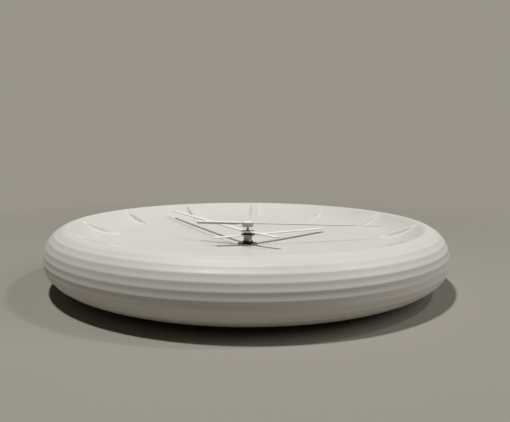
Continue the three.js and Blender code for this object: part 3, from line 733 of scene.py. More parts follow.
@dataclass
class CeramicBowl:
    """The slip-cast body: bowl, hour marks, crown, fluted rim, belly and foot, in millimetres."""

    extent: Extent = field(default_factory=lambda: Extent.of("ceramic_body"))
    steps: SectionSteps = SectionSteps()
    wall: float = 6.0
    rim_width: float = 18.0
    shoulder_height: float = 23.9
    crown_round: float = 1.0
    shoulder_round: float = 21.4
    belly_round: float = 13.0
    belly_width: float = 45.0
    foot_width: float = 14.0
    foot_reach: float = 32.0
    foot_lift: float = 3.5
    foot_edge: float = 1.4
    slope_width: float = 31.5
    slope_reach: float = 21.0
    crown_inner_round: float = 4.0
    bowl_depth: float = 20.7
    bowl_rise: float = 8.3
    bowl_power: float = 1.2
    bowl_margin: float = 3.0
    bowl_edge: Spot = (2.4, 0.6)
    seat_radius: float = 12.0
    hole_radius: float = 4.1
    hole_margin: float = 1.0
    rib_count: int = 11
    rib_pitch: float = 5.26
    rib_start: float = 5.4
    rib_depth: float = 0.22
    rib_growth: float = 0.05
    crest_softness: float = 0.18
    mark_count: int = 12
    mark_inner_reach: float = 4.0
    mark_outer_margin: float = 3.5
    mark_width: float = 7.0
    mark_lift: float = 0.5
    mark_edge: float = 0.95
    mark_end: float = 1.6
    flank_start: float = 0.9
    flank_end: float = 2.4
    flank_steps: int = 17
    top_steps: int = 5
    between_steps: int = 18

    @property
    def crown_radius(self) -> float:
        """The radius of the highest ring."""
        return self.extent.radius - self.rim_width

    @property
    def crown_height(self) -> float:
        """The height of the highest ring."""
        return self.extent.high.z

    @property
    def bowl_radius(self) -> float:
        """The radius where the bowl meets its slope."""
        return self.crown_radius - self.slope_width

    @property
    def foot_outer(self) -> float:
        """The foot ring's outer radius."""
        return self.extent.radius - self.belly_width

    @property
    def bowl_width(self) -> float:
        """The width of the bowl's rising part, from the flat seat to its slope."""
        return self.bowl_radius - self.seat_radius

    @property
    def ribs_end(self) -> float:
        """The arc length from the crown to the last crest."""
        return self.rib_start + (self.rib_count - 1) * self.rib_pitch

    def bowl_height(self, radius: np.ndarray | float) -> np.ndarray:
        """The bowl's height at each radius."""
        share = np.clip((np.asarray(radius) - self.seat_radius) / self.bowl_width, 0.0, None)
        return self.crown_height - self.bowl_depth + self.bowl_rise * share ** self.bowl_power

    def on_bowl(self, radius: np.ndarray, drop: float = 0.0) -> np.ndarray:
        """Radius and height of points on the bowl, or a drop below it."""
        return np.stack([radius, self.bowl_height(radius) - drop], 1)

    def slope(self, steps: int) -> np.ndarray:
        """Points on the curve from the bowl's edge to the crown.

        Args:
            steps: Their number.

        Returns:
            Radius and height of each point.
        """
        edge = float(self.bowl_height(self.bowl_radius))
        steepness = self.bowl_power * self.bowl_rise / self.bowl_width
        crown, top, reach = self.crown_radius, self.crown_height, self.slope_reach
        return bezier([
            (self.bowl_radius, edge), (self.bowl_radius + reach, edge + reach * steepness),
            (crown - self.crown_inner_round, top), (crown, top)], np.linspace(0, 1, steps))

    def rim_path(self) -> tuple[np.ndarray, np.ndarray, np.ndarray]:
        """Sample the rim's curve from the crown down to the foot.

        Returns:
            The arc length, the points and the unit tangents along it.
        """
        crown, top, reach = self.crown_radius, self.crown_height, self.extent.radius
        widest = top - self.shoulder_height
        share = np.linspace(0, 1, self.steps.rim)
        upper = bezier([
            (crown, top), (crown + self.crown_round, top), (reach, widest + self.shoulder_round),
            (reach, widest)], share)
        lower = bezier([
            (reach, widest), (reach, widest - self.belly_round),
            (self.foot_outer + self.foot_reach, self.foot_lift), (self.foot_outer, 0.0)], share)
        points = np.concatenate([upper, lower[1:]])
        steps = np.linalg.norm(np.diff(points, axis=0), axis=1)
        length = np.concatenate([[0.0], np.cumsum(steps)])
        return length, points, unit(np.gradient(points, length, axis=0))

    def beside_rim(self, where: np.ndarray, inward: np.ndarray | float) -> np.ndarray:
        """Points along the rim's curve, moved inwards.

        Args:
            where: Arc lengths from the crown.
            inward: How far each point is moved into the wall.

        Returns:
            Radius and height of each point.
        """
        length, points, tangents = self.rim_path()
        spots, along = (
            np.stack([np.interp(where, length, column) for column in rows.T], 1)
            for rows in (points, tangents))
        along = unit(along)
        normal = np.stack([along[:, 1], -along[:, 0]], 1)
        return spots + normal * np.broadcast_to(inward, len(spots))[:, None]

    def cove(self, where: np.ndarray) -> np.ndarray:
        """The depth of the round coves between the crests.

        Args:
            where: Arc lengths from the crown.

        Returns:
            How far the surface lies inside the smooth rim.
        """
        phase = (where - self.rib_start) / self.rib_pitch
        inside = (phase > 0) & (phase < self.rib_count - 1)
        wave = np.abs(np.sin(math.pi * phase))
        soft = self.crest_softness
        depth = (np.sqrt(wave ** 2 + soft ** 2) - soft) / (math.sqrt(1 + soft ** 2) - soft)
        return np.where(inside, self.rib_depth * (1 + self.rib_growth * phase) * depth, 0.0)

    def face(self) -> np.ndarray:
        """Trace the section's visible inside, from the hole to the crown.

        Returns:
            Radius and height of each row.
        """
        start, end = self.hole_radius + self.hole_margin, self.bowl_radius - self.bowl_margin
        near, last = (self.bowl_radius - margin for margin in self.bowl_edge)
        radii = np.concatenate([
            [self.hole_radius], np.linspace(start, end, self.steps.bowl),
            np.linspace(near, last, self.steps.bowl_edge)])
        return np.concatenate([self.on_bowl(radii), self.slope(self.steps.slope)[:-1]])

    def rim(self) -> np.ndarray:
        """Trace the section's outside, from the crown over the coves to the foot.

        Returns:
            Radius and height of each row.
        """
        coves = (self.rib_count - 1) * self.steps.cove + 1
        belly_end = self.rim_path()[0][-1] - self.foot_edge
        where = np.concatenate([
            np.linspace(0, self.rib_start, self.steps.crown)[:-1],
            np.linspace(self.rib_start, self.ribs_end, coves),
            np.linspace(self.ribs_end, belly_end, self.steps.belly)[1:]])
        return self.beside_rim(where, self.cove(where))

    def underside(self) -> np.ndarray:
        """Trace the section's hidden side, from the foot's edge back to the hole.

        Returns:
            Radius and height of each row.
        """
        foot_end = self.rim()[-1]
        length = self.rim_path()[0][-1]
        inner_rim = self.beside_rim(np.linspace(length, 0, self.steps.inner_rim), self.wall)
        foot_inner, ease = self.foot_outer - self.foot_width, self.foot_edge
        foot = softened([
            (*foot_end, 0.0), (self.foot_outer, 0.0, ease), (foot_inner, 0.0, ease),
            (foot_inner, float(inner_rim[0, 1]), ease), (*inner_rim[0], 0.0)], self.steps.corner)[1:-1]
        slope = self.slope(self.steps.under_slope)[::-1]
        along = unit(np.gradient(slope, axis=0))
        under_slope = slope + np.stack([-along[:, 1], along[:, 0]], 1) * self.wall
        radii = np.append(
            np.linspace(self.bowl_radius - self.bowl_margin, self.seat_radius, self.steps.under_bowl),
            self.hole_radius)
        return np.concatenate([foot, inner_rim[:-1], under_slope, self.on_bowl(radii, self.wall)])

    def angles(self) -> np.ndarray:
        """The steps round the axis, close together at the flanks of the hour marks.

        Returns:
            Azimuths in radians.
        """
        near, far = self.flank_start, self.flank_end
        spacing = 360 / self.mark_count
        flank = np.linspace(near, far, self.flank_steps)
        top = np.linspace(-near, near, self.top_steps)[1:-1]
        between = np.linspace(far, spacing - far, self.between_steps)[1:-1]
        one = np.concatenate([-flank[::-1], top, flank, between])
        return np.radians(np.concatenate([one + spacing * hour for hour in range(self.mark_count)]) + 90)

    def mark_relief(self, radius: np.ndarray, azimuth: np.ndarray) -> np.ndarray:
        """The height of the hour marks over the face.

        Args:
            radius: Radius of each point.
            azimuth: Azimuth of each point in radians.

        Returns:
            The rise of each point.
        """
        inner = self.bowl_radius - self.mark_inner_reach
        outer = self.crown_radius - self.mark_outer_margin
        near = self.on_bowl(np.array([inner - 1, inner]))
        curve = np.concatenate([near, self.slope(self.steps.relief)])
        face = np.interp(radius, curve[:, 0], curve[:, 1])
        ends = np.interp((inner, outer), curve[:, 0], curve[:, 1]) + self.mark_lift
        top = ends[0] + (ends[1] - ends[0]) * (radius - inner) / (outer - inner)
        near_end = np.minimum(radius - inner, outer - radius) / self.mark_end + 0.5
        crest = np.clip(top - face, 0, None) * np.clip(near_end, 0, 1)
        step = TURN / self.mark_count
        turn = (azimuth + step / 2) % step - step / 2
        beside = np.abs(radius * np.sin(turn))
        fade = np.clip((self.mark_width / 2 + self.mark_edge - beside) / (2 * self.mark_edge), 0, 1)
        return crest * fade * fade * (3 - 2 * fade)

    def build(self) -> None:
        """Make the body's mesh and dress it."""
        face = self.face()
        rows = np.concatenate([face, self.rim(), self.underside()])
        radius, azimuth = np.meshgrid(rows[:, 0], self.angles(), indexing="ij")
        height = np.repeat(rows[:, 1:], radius.shape[1], axis=1)
        height[:len(face)] += self.mark_relief(radius[:len(face)], azimuth[:len(face)])
        points = np.stack([radius * np.cos(azimuth), radius * np.sin(azimuth), height], 2)
        dressed(woven("ceramic_bowl", points, 60.0), CERAMIC, Body.CLOCK, "ceramic_body")


# Fixings at the dial's centre


@dataclass
class CentreFixing:
    """Washer, nut, threaded bush and gasket that clamp the dial, in millimetres."""

    bore_gap: float = 0.1
    washer_ease: float = 0.3
    washer_bore_ease: float = 0.25
    fine_ease: float = 0.1
    nut_chamfer: float = 0.165
    nut_flats: int = 6
    nut_columns: int = 24
    nut_tilt: float = 30.0
    nut_bore_ease: float = 0.3
    thread_pitch: float = 0.75
    thread_depth: float = 0.34
    thread_rows: int = 6
    thread_sides: int = 48
    flange_least: float = 0.5
    bush_lip: float = 0.45
    bush_ease: float = 0.2
    bush_mouth: float = 0.4
    gasket_bulge: float = 0.35

    def bush_radius(self) -> float:
        """Measure the bush above its flange.

        Returns:
            Its radius.
        """
        corners = [vertex.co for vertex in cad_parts["threaded_bush"].data.vertices]
        top = max(corner.z for corner in corners)
        return max(corner.xy.length for corner in corners if corner.z > top - MM) / MM

    def washer(self) -> None:
        """Turn the washer with its eased rim."""
        _, low, high, rim = Extent.of("fixing_washer").ring
        bore = self.bush_radius() + self.bore_gap
        ease, fine = self.washer_bore_ease, self.fine_ease
        profile = softened([
            (bore, low, 0.0), (rim, low, self.washer_ease), (rim, high, self.washer_ease),
            (bore + ease, high, fine), (bore, high - ease, fine)], 4)
        dressed(turned("brass_washer", profile, 128), WASHER_BRASS, Body.CLOCK, "fixing_washer")

    def nut(self) -> None:
        """Shape the hexagon nut with the round chamfers at both faces."""
        _, low, high, corner = Extent.of("fixing_nut").ring
        bore, ease = self.bush_radius() + self.bore_gap, self.nut_bore_ease
        flat = corner * math.cos(math.pi / self.nut_flats)
        start = flat - self.nut_chamfer
        step = TURN / self.nut_flats
        columns = []
        for angle in np.arange(self.nut_columns * self.nut_flats) * step / self.nut_columns:
            reach = flat / math.cos(angle % step - step / 2)
            drop = max(0.0, (reach - start) * math.tan(math.radians(self.nut_tilt)))
            rows = [(bore, low + ease), (bore + ease, low), (start, low), (reach, low + drop),
                    (reach, high - drop), (start, high), (bore + ease, high), (bore, high - ease)]
            columns.append([(r * math.cos(angle), r * math.sin(angle), z) for r, z in rows])
        dressed(woven("hexagon_nut", np.array(columns), 24.0), BLACKED_STEEL, Body.CLOCK, "fixing_nut")

    def bush(self) -> None:
        """Cut the helical thread round the bush and leave a plain lip at its mouth."""
        bore, low, high, flange = Extent.of("threaded_bush").ring
        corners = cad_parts["threaded_bush"].data.vertices
        flange_top = min(z for z in (v.co.z / MM for v in corners) if z > low + self.flange_least)
        thread_end = high - self.bush_lip
        radius, gap, ease = self.bush_radius(), self.bore_gap, self.bush_ease
        heights = np.arange(flange_top + gap, thread_end, self.thread_pitch / self.thread_rows)
        plain = softened([(bore, low, 0.0), (flange, low, ease), (flange, flange_top, ease)], 3)
        lip = softened([(radius, thread_end, 0.0), (radius, high, ease), (bore + gap, high, ease)], 3)
        rows = np.array(
            [(r, z, 0.0) for r, z in plain] + [(radius - gap, flange_top, 0.0)]
            + [(radius, z, self.thread_depth) for z in heights]
            + [(r, z, 0.0) for r, z in lip] + [(bore, high - self.bush_mouth, 0.0)])
        reach, height, depth = (rows[:, axis, None] for axis in range(3))
        turns = np.arange(self.thread_sides)[None, :] / self.thread_sides
        phase = (height / self.thread_pitch - turns) % 1
        reach = reach - depth * (1 - np.abs(2 * phase - 1))
        angle = TURN * turns
        points = np.stack([reach * np.cos(angle), reach * np.sin(angle), height + 0 * angle], 2)
        dressed(woven("bush_with_thread", points, 40.0), ZINC, Body.CLOCK, "threaded_bush")

    def gasket(self) -> None:
        """Press the gasket's edge out a little, as under load."""
        bore, low, high, rim = Extent.of("rubber_gasket").ring
        bulge = self.gasket_bulge
        profile = softened([(bore, low, 0.0), (rim, low, bulge), (rim, high, bulge), (bore, high, 0.0)])
        dressed(turned("gasket_ring", profile), RUBBER, Body.CLOCK, "rubber_gasket")

    def build(self) -> None:
        """Make the four fixings."""
        for make in (self.washer, self.nut, self.bush, self.gasket):
            make()


# Hands


@dataclass(frozen=True)
class Hand:
    """A flat painted hand with a round hub, in millimetres, pointing to its clock angle."""

    name: str
    node: str
    body: Body
    angle: float
    length: float
    tail: float
    width: float
    tip_width: float
    hub_radius: float
    carrier_radius: float
    carrier_gap: float = 0.1
    thickness: float = 0.6
    bend: float = 0.0
    bend_rise: float = 0.0
    bend_softness: float = 5.0
    bend_cuts: int = 9
    hub_steps: int = 16
    tip_round: float = 0.5
    neck_round: float = 0.6
    tail_round: float = 0.8
    edge: float = 0.16

    def hub_side(self, start: float, end: float) -> list[Corner]:
        """Corners on the hub's disc between two angles in radians, with no rounding."""
        angles = [start + (end - start) * i / self.hub_steps for i in range(1, self.hub_steps)]
        return [(self.hub_radius * math.cos(a), self.hub_radius * math.sin(a), 0.0) for a in angles]

    def outline(self) -> list[Spot]:
        """The hand's outline: a gently tapering bar with a disc round its pivot.

        Returns:
            The outline's points.
        """
        half, tip, neck, tail = self.width / 2, self.tip_width / 2, self.neck_round, self.tail_round
        meet = math.sqrt(self.hub_radius ** 2 - half ** 2)
        angle = math.acos(half / self.hub_radius)
        return softened([
            (tip, self.length, self.tip_round), (half, meet, neck), *self.hub_side(angle, -angle),
            (half, -meet, neck), (half, -self.tail, tail), (-half, -self.tail, tail), (-half, -meet, neck),
            *self.hub_side(math.pi + angle, math.pi - angle), (-half, meet, neck),
            (-tip, self.length, self.tip_round)], 4)

    def lifted(self, y: float) -> float:
        """How far the bent hand stands above its hub's plane.

        Args:
            y: The distance along the hand.

        Returns:
            The rise.
        """
        slope = self.bend_rise / (self.length - self.bend)
        past, soft = y - self.bend, self.bend_softness
        if past <= -soft:
            return 0.0
        return slope * (past if past >= soft else (past + soft) ** 2 / (4 * soft))

    def build(self) -> None:
        """Cut the hand from sheet, bend it, turn it to its hour and dress it."""
        hand = extruded(self.name, self.outline(), 0.0, self.thickness)
        hole = self.carrier_radius + self.carrier_gap
        merged(hand, [rod(hole, -PAST, self.thickness + PAST, sides=64)], Merge.CUT)
        base = Extent.of(self.node).low.z
        work = bmesh.new()
        work.from_mesh(hand.data)
        cuts = np.linspace(-1, 1, self.bend_cuts) * self.bend_softness + self.bend
        for y in cuts if self.bend_rise else ():
            bmesh.ops.bisect_plane(
                work, geom=work.verts[:] + work.edges[:] + work.faces[:],
                plane_co=(0, y * MM, 0), plane_no=(0, 1, 0))
        for vertex in work.verts:
            vertex.co.z += (base + self.lifted(vertex.co.y / MM)) * MM
        work.transform(Matrix.Rotation(-math.radians(self.angle), 4, "Z"))
        work.to_mesh(hand.data)
        work.free()
        shaded(hand.data, 30.0)
        eased(hand, self.edge, 3)
        dressed(hand, HAND_PAINT, self.body, self.node)


@dataclass
class HandSet:
    """The three hands with their collar, collet and pipe, in millimetres."""

    hour_hand: Hand = Hand(
        "hour_blade", "hour_hand", Body.HOURS, angle=58.4, length=80.0, tail=32.0, width=5.6, tip_width=5.2,
        hub_radius=6.1, carrier_radius=3.55)
    minute_hand: Hand = Hand(
        "minute_blade", "minute_hand", Body.MINUTES, angle=318.5, length=123.6, tail=39.0, width=4.8,
        tip_width=4.2, hub_radius=6.2, carrier_radius=2.4, bend=8.0, bend_rise=5.5)
    seat_gap: float = 0.05
    collar_flange: float = 0.5
    collet_flange: float = 0.35
    collet_lip: float = 0.1
    collet_taper: float = 0.3
    second_angle: float = 93.9
    needle_reach: float = 113.0
    needle_straight: float = 60.0
    needle_tail: float = 13.2
    needle_radius: float = 0.5
    needle_tip: float = 0.32
    needle_point: float = 0.4
    needle_point_share: float = 0.6
    hub_ease: float = 0.3
    hub_hole: float = 0.62
    hub_half: float = 5.3
    weight_reach: float = 44.5
    weight_neck: float = 3.2
    weight_bore: float = 0.6
    weight_bore_reach: float = 13.4
    notch_radius: float = 0.95
    pipe_groove: tuple[float, float, float, float] = (0.7, 0.85, 1.05, 1.2)
    pipe_groove_depth: float = 0.12

    def hour(self) -> None:
        """Make the hour hand and the black collar that carries it."""
        self.hour_hand.build()
        bore, low, high, wide = Extent.of("hour_hand_collar").ring
        neck, seat = self.hour_hand.carrier_radius, Extent.of("hour_hand").high.z + self.seat_gap
        top = seat + self.collar_flange
        profile = softened([
            (bore, low, 0.0), (neck, low, 0.1), (neck, seat, 0.0), (wide, seat, 0.12), (wide, top, 0.18),
            (neck, top, 0.1), (neck, high, 0.2), (bore, high, 0.1)], 4)
        dressed(turned("black_collar", profile), COLLAR_PLASTIC, Body.HOURS, "hour_hand_collar")

    def minute(self) -> None:
        """Make the bent minute hand and its brass collet."""
        self.minute_hand.build()
        bore, low, high, wide = Extent.of("minute_hand_collet").ring
        neck = self.minute_hand.carrier_radius
        seat, lip = high - self.collet_flange, high - self.collet_lip
        profile = softened([
            (bore, low, 0.0), (neck, low, 0.15), (neck, seat, 0.0), (wide, seat, 0.12), (wide, lip, 0.12),
            (neck + self.collet_taper, high, 0.1), (bore, high, 0.1)], 3)
        dressed(turned("brass_collet", profile), COLLET_BRASS, Body.MINUTES, "minute_hand_collet")

    def laid(self, points: np.ndarray, height: float) -> np.ndarray:
        """Lay upright turned points down along the second hand.

        Args:
            points: The points, one to a row.
            height: The hand's height over the foot.

        Returns:
            The points with their Z axis tipped to +Y and turned to the clock angle.
        """
        turn = -math.radians(self.second_angle)
        x, y, z = points.T
        across = x * math.cos(turn) - z * math.sin(turn)
        onward = x * math.sin(turn) + z * math.cos(turn)
        return np.stack([across, onward, height - y], 1)

    def second_hub(self, place: Move) -> None:
        """Make the second hand's hub and the pipe under it.

        Args:
            place: Lays a bar down along the hand.
        """
        _, low, high, radius = Extent.of("second_hand_hub").ring
        bore, foot, top, reach = Extent.of("second_hand_pipe").ring
        hole, roof, ease = reach + self.seat_gap, top + self.seat_gap, self.hub_ease
        cup = softened([
            (0.0, roof, 0.0), (hole, roof, 0.0), (hole, low, 0.0), (radius - 0.25, low, 0.2),
            (radius, low + ease, 0.2), (radius, high - 0.35, ease), (radius - 0.35, high, ease),
            (0.0, high, 0.0)], 4)
        body = turned("second_hub", cup, 96, 30.0)
        half = self.hub_half
        cutter = turned("cutter", [(0, -half), (self.hub_hole, -half), (self.hub_hole, half), (0, half)],
                        24, place=place)
        merged(body, [cutter], Merge.CUT)
        shaded(body.data, 35.0)
        dressed(body, HAND_PAINT, Body.SECONDS, "second_hand_hub")
        start, first, last, end = (foot + height for height in self.pipe_groove)
        groove = reach - self.pipe_groove_depth
        tube = softened([
            (bore, foot, 0.0), (reach, foot, 0.12), (reach, start, 0.0), (groove, first, 0.0),
            (groove, last, 0.0), (reach, end, 0.0), (reach, top, 0.1), (bore, top, 0.0)], 3)
        dressed(turned("brass_pipe", tube, 64), PIPE_BRASS, Body.SECONDS, "second_hand_pipe")

    def second(self) -> None:
        """Make the second hand: hub, pipe, needle and round counterweight."""
        place = partial(self.laid, height=Extent.of("second_hand_needle").centre.z)
        self.second_hub(place)
        tail, reach, tip = -self.needle_tail, self.needle_reach, self.needle_tip
        fine = [(0.0, tail), (self.needle_radius, tail), (self.needle_radius, self.needle_straight),
                (tip, reach - self.needle_point), (tip * self.needle_point_share, reach), (0.0, reach)]
        needle = turned("needle", fine, 24, 50.0, place)
        dressed(needle, HAND_PAINT, Body.SECONDS, "second_hand_needle")
        sleeve = Extent.of("second_hand_counterweight")
        thick = (sleeve.high.z - sleeve.low.z) / 2
        start, end, inner = -self.hub_half, -self.weight_reach, -self.weight_bore_reach
        neck = start - self.weight_neck
        heavy = softened([
            (self.weight_bore, start, 0.0), (self.notch_radius, start, 0.1), (self.notch_radius, neck, 0.2),
            (thick, neck - 0.3, 0.3), (thick, end, 0.6), (0.0, end, 0.0), (0.0, inner, 0.0),
            (self.weight_bore, inner, 0.0)], 5)
        weight = turned("counterweight", heavy, 48, 40.0, place)
        dressed(weight, HAND_PAINT, Body.SECONDS, "second_hand_counterweight")

    def build(self) -> None:
        """Make all three hands."""
        for make in (self.hour, self.minute, self.second):
            make()


# Movement behind the dial


@dataclass
class Movement:
    """The quartz movement's case, cover, battery, contacts, knob and bracket, in millimetres."""

    bracket_sheet: float = 0.8
    bracket_bend: float = 1.3
    bracket_corner: float = 3.0
    bracket_gap: float = 0.3
    bracket_hole_ring: float = 1.6
    keyhole_radius: float = 4.5
    keyhole_slot: float = 2.2
    keyhole_length: float = 7.0
    cell_cap: float = 2.7
    cell_cap_height: float = 1.0
    cell_end: float = 0.9
    cell_sleeve_end: float = 0.5
    cell_base: float = 4.6
    cell_dish: float = 0.15
    cell_face: float = 0.6
    knob_flutes: int = 24
    knob_flute_depth: float = 0.4
    knob_flute_width: float = 0.9
    knob_flute_fade: float = 0.5
    knob_dish: float = 0.5
    knob_axle: float = 1.25
    knob_axle_depth: float = 1.7

    def keep(self, finish: Finish, ease: float, *nodes: str) -> None:
        """Dress nodes whose own shape stays, and ease their edges.

        Args:
            finish: Their finish.
            ease: The bevel's width.
            nodes: Their names.
        """
        for node in nodes:
            coated(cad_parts[node], finish)
            eased(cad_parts[node], ease, 2, 25.0)
            LOG.info("%s keeps its shape, %s", node, finish.name)

    def bracket(self) -> None:
        """Bend the hanger's strip, round its corners and cut its keyhole."""
        extent = Extent.of("hanger_bracket")
        low, high, start, end = extent.low.z, extent.high.z, extent.low.y, extent.high.y
        thick, outer, corner = self.bracket_sheet, self.bracket_bend, self.bracket_corner
        half, inner = extent.radius, outer - thick
        bend = Extent.of("movement_case").high.y + self.bracket_gap
        side = softened([
            (start, high - thick, 0.0), (start, high, 0.0), (bend + thick, high, outer),
            (bend + thick, low + thick, inner), (end, low + thick, 0.0), (end, low, 0.0),
            (bend, low, outer), (bend, high - thick, inner)], 6)
        strip = extruded("bent_bracket", side, -half, half)
        strip.data.transform(Matrix(((0, 0, 1, 0), (1, 0, 0, 0), (0, 1, 0, 0), (0, 0, 0, 1))))
        plan = softened([
            (-half, start, corner), (half, start, corner), (half, end, corner), (-half, end, corner)], 6)
        merged(strip, [extruded("plan", plan, low - PAST, high + PAST)], Merge.OVERLAP)
        slot, length = self.keyhole_slot, self.keyhole_length
        hole, bore = end - (2 * half + length) / 2, Extent.of("threaded_bush").radius
        under, over = low - PAST, low + 2 * PAST
        merged(strip, [
            rod(bore - self.bracket_hole_ring, high - 2 * PAST, high + PAST),
            rod(self.keyhole_radius, under, over, (0.0, hole)), rod(slot, under, over, (0.0, hole + length)),
            block((-slot, hole, under), (slot, hole + length, over))], Merge.CUT)
        eased(strip, 0.12)
        dressed(strip, STEEL, Body.CLOCK, "hanger_bracket")

    def in_bay(self, points: np.ndarray) -> np.ndarray:
        """Lay the upright cell along X in its bay.

        Args:
            points: The points, one to a row.

        Returns:
            The moved points.
        """
        extent = Extent.of("battery")
        x, y, z = points.T
        return np.stack([extent.low.x + z, extent.centre.y + y, extent.centre.z + x], 1)

    def cell(self) -> None:
        """Turn the round cell with its shrunk sleeve, uncovered metal ends and positive cap."""
        extent = Extent.of("battery")
        radius, length = (extent.high.y - extent.low.y) / 2, extent.high.x - extent.low.x
        shoulder, cap, dish = length - self.cell_cap_height, self.cell_cap, self.cell_dish
        end, wrap = radius - self.cell_end, self.cell_sleeve_end
        profile = softened([
            (0.0, dish, 0.0), (self.cell_base - 0.3, dish, 0.1), (self.cell_base, 0.0, 0.2),
            (end, 0.0, 0.2), (radius, wrap, 0.5), (radius, shoulder - wrap, 0.5), (end, shoulder, 0.2),
            (cap + 1.6, shoulder - 0.2, 0.3), (cap, shoulder - 0.2, 0.2), (cap, length, 0.35),
            (0.0, length, 0.0)], 4)
        sleeve = BandedFinish(
            "cell_sleeve", Slot.BATTERY, (66, 82, 96), 0.3, metallic=0.35, drift=0.05, drift_scale=200.0,
            second=(164, 168, 170), centre=(extent.high.x * MM, 0.0, 0.0), axes=(1.0, 0.0, 0.0),
            start=0.0148, end=0.0146)
        cell = turned("round_cell", profile, 72, 30.0, self.in_bay)
        dressed(cell, sleeve, Body.CELL, "battery")
        cell.data.materials.append(CELL_METAL.make())
        for face in cell.data.polygons:
            face.material_index = int(abs(face.normal.x) > self.cell_face)

    def fluted(self, points: np.ndarray) -> np.ndarray:
        """Press the flutes into the knob's rim and move it to its axle.

        Args:
            points: The points, one to a row.

        Returns:
            The moved points.
        """
        extent = Extent.of("setting_knob")
        reach = np.hypot(points[:, 0], points[:, 1])
        angle = np.arctan2(points[:, 1], points[:, 0])
        wave = 0.5 - 0.5 * np.cos(self.knob_flutes * angle)
        inside = extent.radius - self.knob_flute_width
        depth = np.clip((reach - inside) / self.knob_flute_fade, 0, 1) * wave * self.knob_flute_depth
        scale = 1 - depth / np.maximum(reach, self.knob_flute_depth)
        centre = extent.centre
        return points * np.stack([scale, scale, np.ones_like(scale)], 1) + (centre.x, centre.y, 0.0)

    def knob(self) -> None:
        """Mould the setting knob with its flutes and a dished back."""
        _, low, high, radius = Extent.of("setting_knob").ring
        dish, axle, seat = low + self.knob_dish, self.knob_axle, high - self.knob_axle_depth
        rows = softened([
            (0.0, dish, 0.0), (radius - 2.2, dish, 0.4), (radius - 1.4, low, 0.3), (radius, low, 0.4),
            (radius, high, 0.3), (axle, high, 0.0), (axle, seat, 0.0), (0.0, seat, 0.0)], 4)
        knob = turned("knob_grip", rows, self.knob_flutes * 8, 40.0, self.fluted)
        dressed(knob, BLACK_PLASTIC, Body.MOTION_WORK, "setting_knob")

    def build(self) -> None:
        """Make the outer parts of the movement and dress its inside."""
        for make in (self.bracket, self.cell, self.knob):
            make()
        self.keep(BLACK_PLASTIC, 0.3, "movement_case")
        self.keep(BLACK_PLASTIC, 0.15, "rear_cover")
        self.keep(STEEL, 0.06, "contact_positive", "contact_negative", "coil_core", "motor_stator",
                  "quartz_crystal", "rotor_pinion", "clutch_spring")
        self.keep(BLACKED_STEEL, 0.1, "rotor_magnet")
        self.keep(BLACK_PLASTIC, 0.1, "coil_bobbin", "control_chip", "hour_wheel")
        self.keep(COPPER, 0.2, "coil_winding")
        self.keep(BOARD, 0.08, "circuit_board")
        self.keep(COLLET_BRASS, 0.05, "minute_arbor")
        self.keep(GEAR_PLASTIC, 0.05, "intermediate_wheel", "seconds_wheel", "third_wheel",
                  "centre_wheel", "motion_wheel", "wheel_bridge")


# Floor, light and camera


@dataclass(frozen=True)
class Lamp:
    """A round soft lamp that looks at the clock; at level 1 it shows a level surface as written."""

    direction: Corner
    level: float
    width: float
    distance: float

    def hang(self, name: str) -> None:
        """Hang the lamp in its direction from the clock.

        Args:
            name: The lamp's name.
        """
        direction = Vector(self.direction).normalized()
        data = bpy.data.lights.new(name, "AREA")
        data.shape = "DISK"
        data.size = self.width
        data.energy = self.level * math.pi ** 2 * self.distance ** 2 / direction.z
        lamp = bpy.data.objects.new(name, data)
        lamp.location = direction * self.distance
        lamp.rotation_mode = "QUATERNION"
        lamp.rotation_quaternion = direction.to_track_quat("Z", "Y")
        bpy.context.scene.collection.objects.link(lamp)


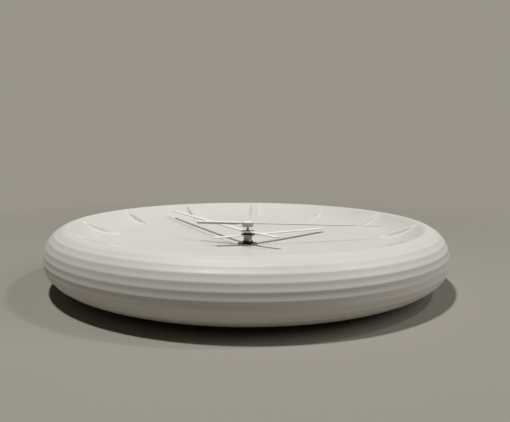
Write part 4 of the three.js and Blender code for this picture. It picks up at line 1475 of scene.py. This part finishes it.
@dataclass
class Studio:
    """A plain pale floor under soft lamps, with a camera at the photograph's angle, in metres."""

    floor_reach: float = 14.0
    floor_colour: Colour = (158, 154, 144)
    backdrop_colour: Colour = (153, 148, 138)
    fade_start: float = 0.3
    fade_end: float = 0.65
    world_colour: Colour = (250, 249, 246)
    world_level: float = 0.01
    lamps: tuple[Lamp, ...] = (
        Lamp((-0.17, -0.14, 1.0), 0.67, 0.16, 2.0),
        Lamp((0.7, 0.05, 1.0), 0.14, 0.16, 2.0),
        Lamp((1.4, -0.2, 1.0), 0.136, 2.4, 4.0),
    )
    camera_place: Corner = (0.0241, -0.4499, 0.1123)
    camera_forward: Corner = (-0.0395, 0.9919, -0.1210)
    camera_roll: float = 0.35
    camera_lens: float = 37.25
    camera_near: float = 0.01
    sensor_width: float = 36.0

    def floor(self) -> None:
        """Lay the floor, whose colour runs into the backdrop's away from the clock."""
        reach = self.floor_reach / MM
        corners = [(-reach, -reach, 0), (reach, -reach, 0), (reach, reach, 0), (-reach, reach, 0)]
        floor = made("floor", corners, [(0, 1, 2, 3)])
        material = bpy.data.materials.new("pale_floor")
        tree = Tree(material)
        near = tree.add("BsdfDiffuse", Color=linear(self.floor_colour)).outputs["BSDF"]
        far = tree.add("Emission", Color=linear(self.backdrop_colour)).outputs["Emission"]
        length = tree.length(tree.add("TexCoord").outputs["Object"])
        share = tree.span(length, 0.0, 1.0, self.fade_start, self.fade_end)
        tree.add("OutputMaterial", tree.add("MixShader", share, near, far).outputs["Shader"])
        floor.data.materials.append(material)

    def world(self) -> None:
        """Light the surroundings weakly, and show the backdrop's colour to the camera and in gloss."""
        world = bpy.data.worlds.new("studio")
        bpy.context.scene.world = world
        tree = Tree(world)
        rays = tree.add("LightPath").outputs
        shown = tree.math(
            "MAXIMUM", *(rays[f"Is {kind} Ray"] for kind in ("Camera", "Glossy", "Transmission")))
        ambient, backdrop = (
            tree.add("Background", Color=linear(colour), Strength=level).outputs["Background"]
            for colour, level in ((self.world_colour, self.world_level), (self.backdrop_colour, 1.0)))
        tree.add("OutputWorld", tree.add("MixShader", shown, ambient, backdrop).outputs["Shader"])

    def camera(self) -> None:
        """Set the camera at the photograph's place and angle."""
        forward = Vector(self.camera_forward).normalized()
        right = forward.cross(Vector((0, 0, 1))).normalized()
        upward = right.cross(forward)
        roll = math.radians(self.camera_roll)
        tilted = right * math.cos(roll) + upward * math.sin(roll)
        data = bpy.data.cameras.new("view")
        data.lens = self.camera_lens
        data.sensor_width = self.sensor_width
        data.clip_start = self.camera_near
        camera = bpy.data.objects.new("view", data)
        turn = Matrix((tilted, tilted.cross(forward), -forward)).transposed().to_4x4()
        camera.matrix_world = Matrix.Translation(Vector(self.camera_place)) @ turn
        bpy.context.scene.collection.objects.link(camera)
        bpy.context.scene.camera = camera

    def build(self) -> None:
        """Make the floor, the world, the lamps and the camera."""
        bpy.context.scene.view_settings.view_transform = "Standard"
        self.floor()
        self.world()
        for index, lamp in enumerate(self.lamps):
            lamp.hang(f"lamp_{index}")
        self.camera()


def main() -> None:
    """Build the clock's visible pieces and the studio round them."""
    logging.basicConfig(level=logging.INFO, format="%(name)s: %(message)s")
    for part in (Studio(), CeramicBowl(), CentreFixing(), HandSet(), Movement()):
        part.build()


if __name__ == "__main__":
    main()
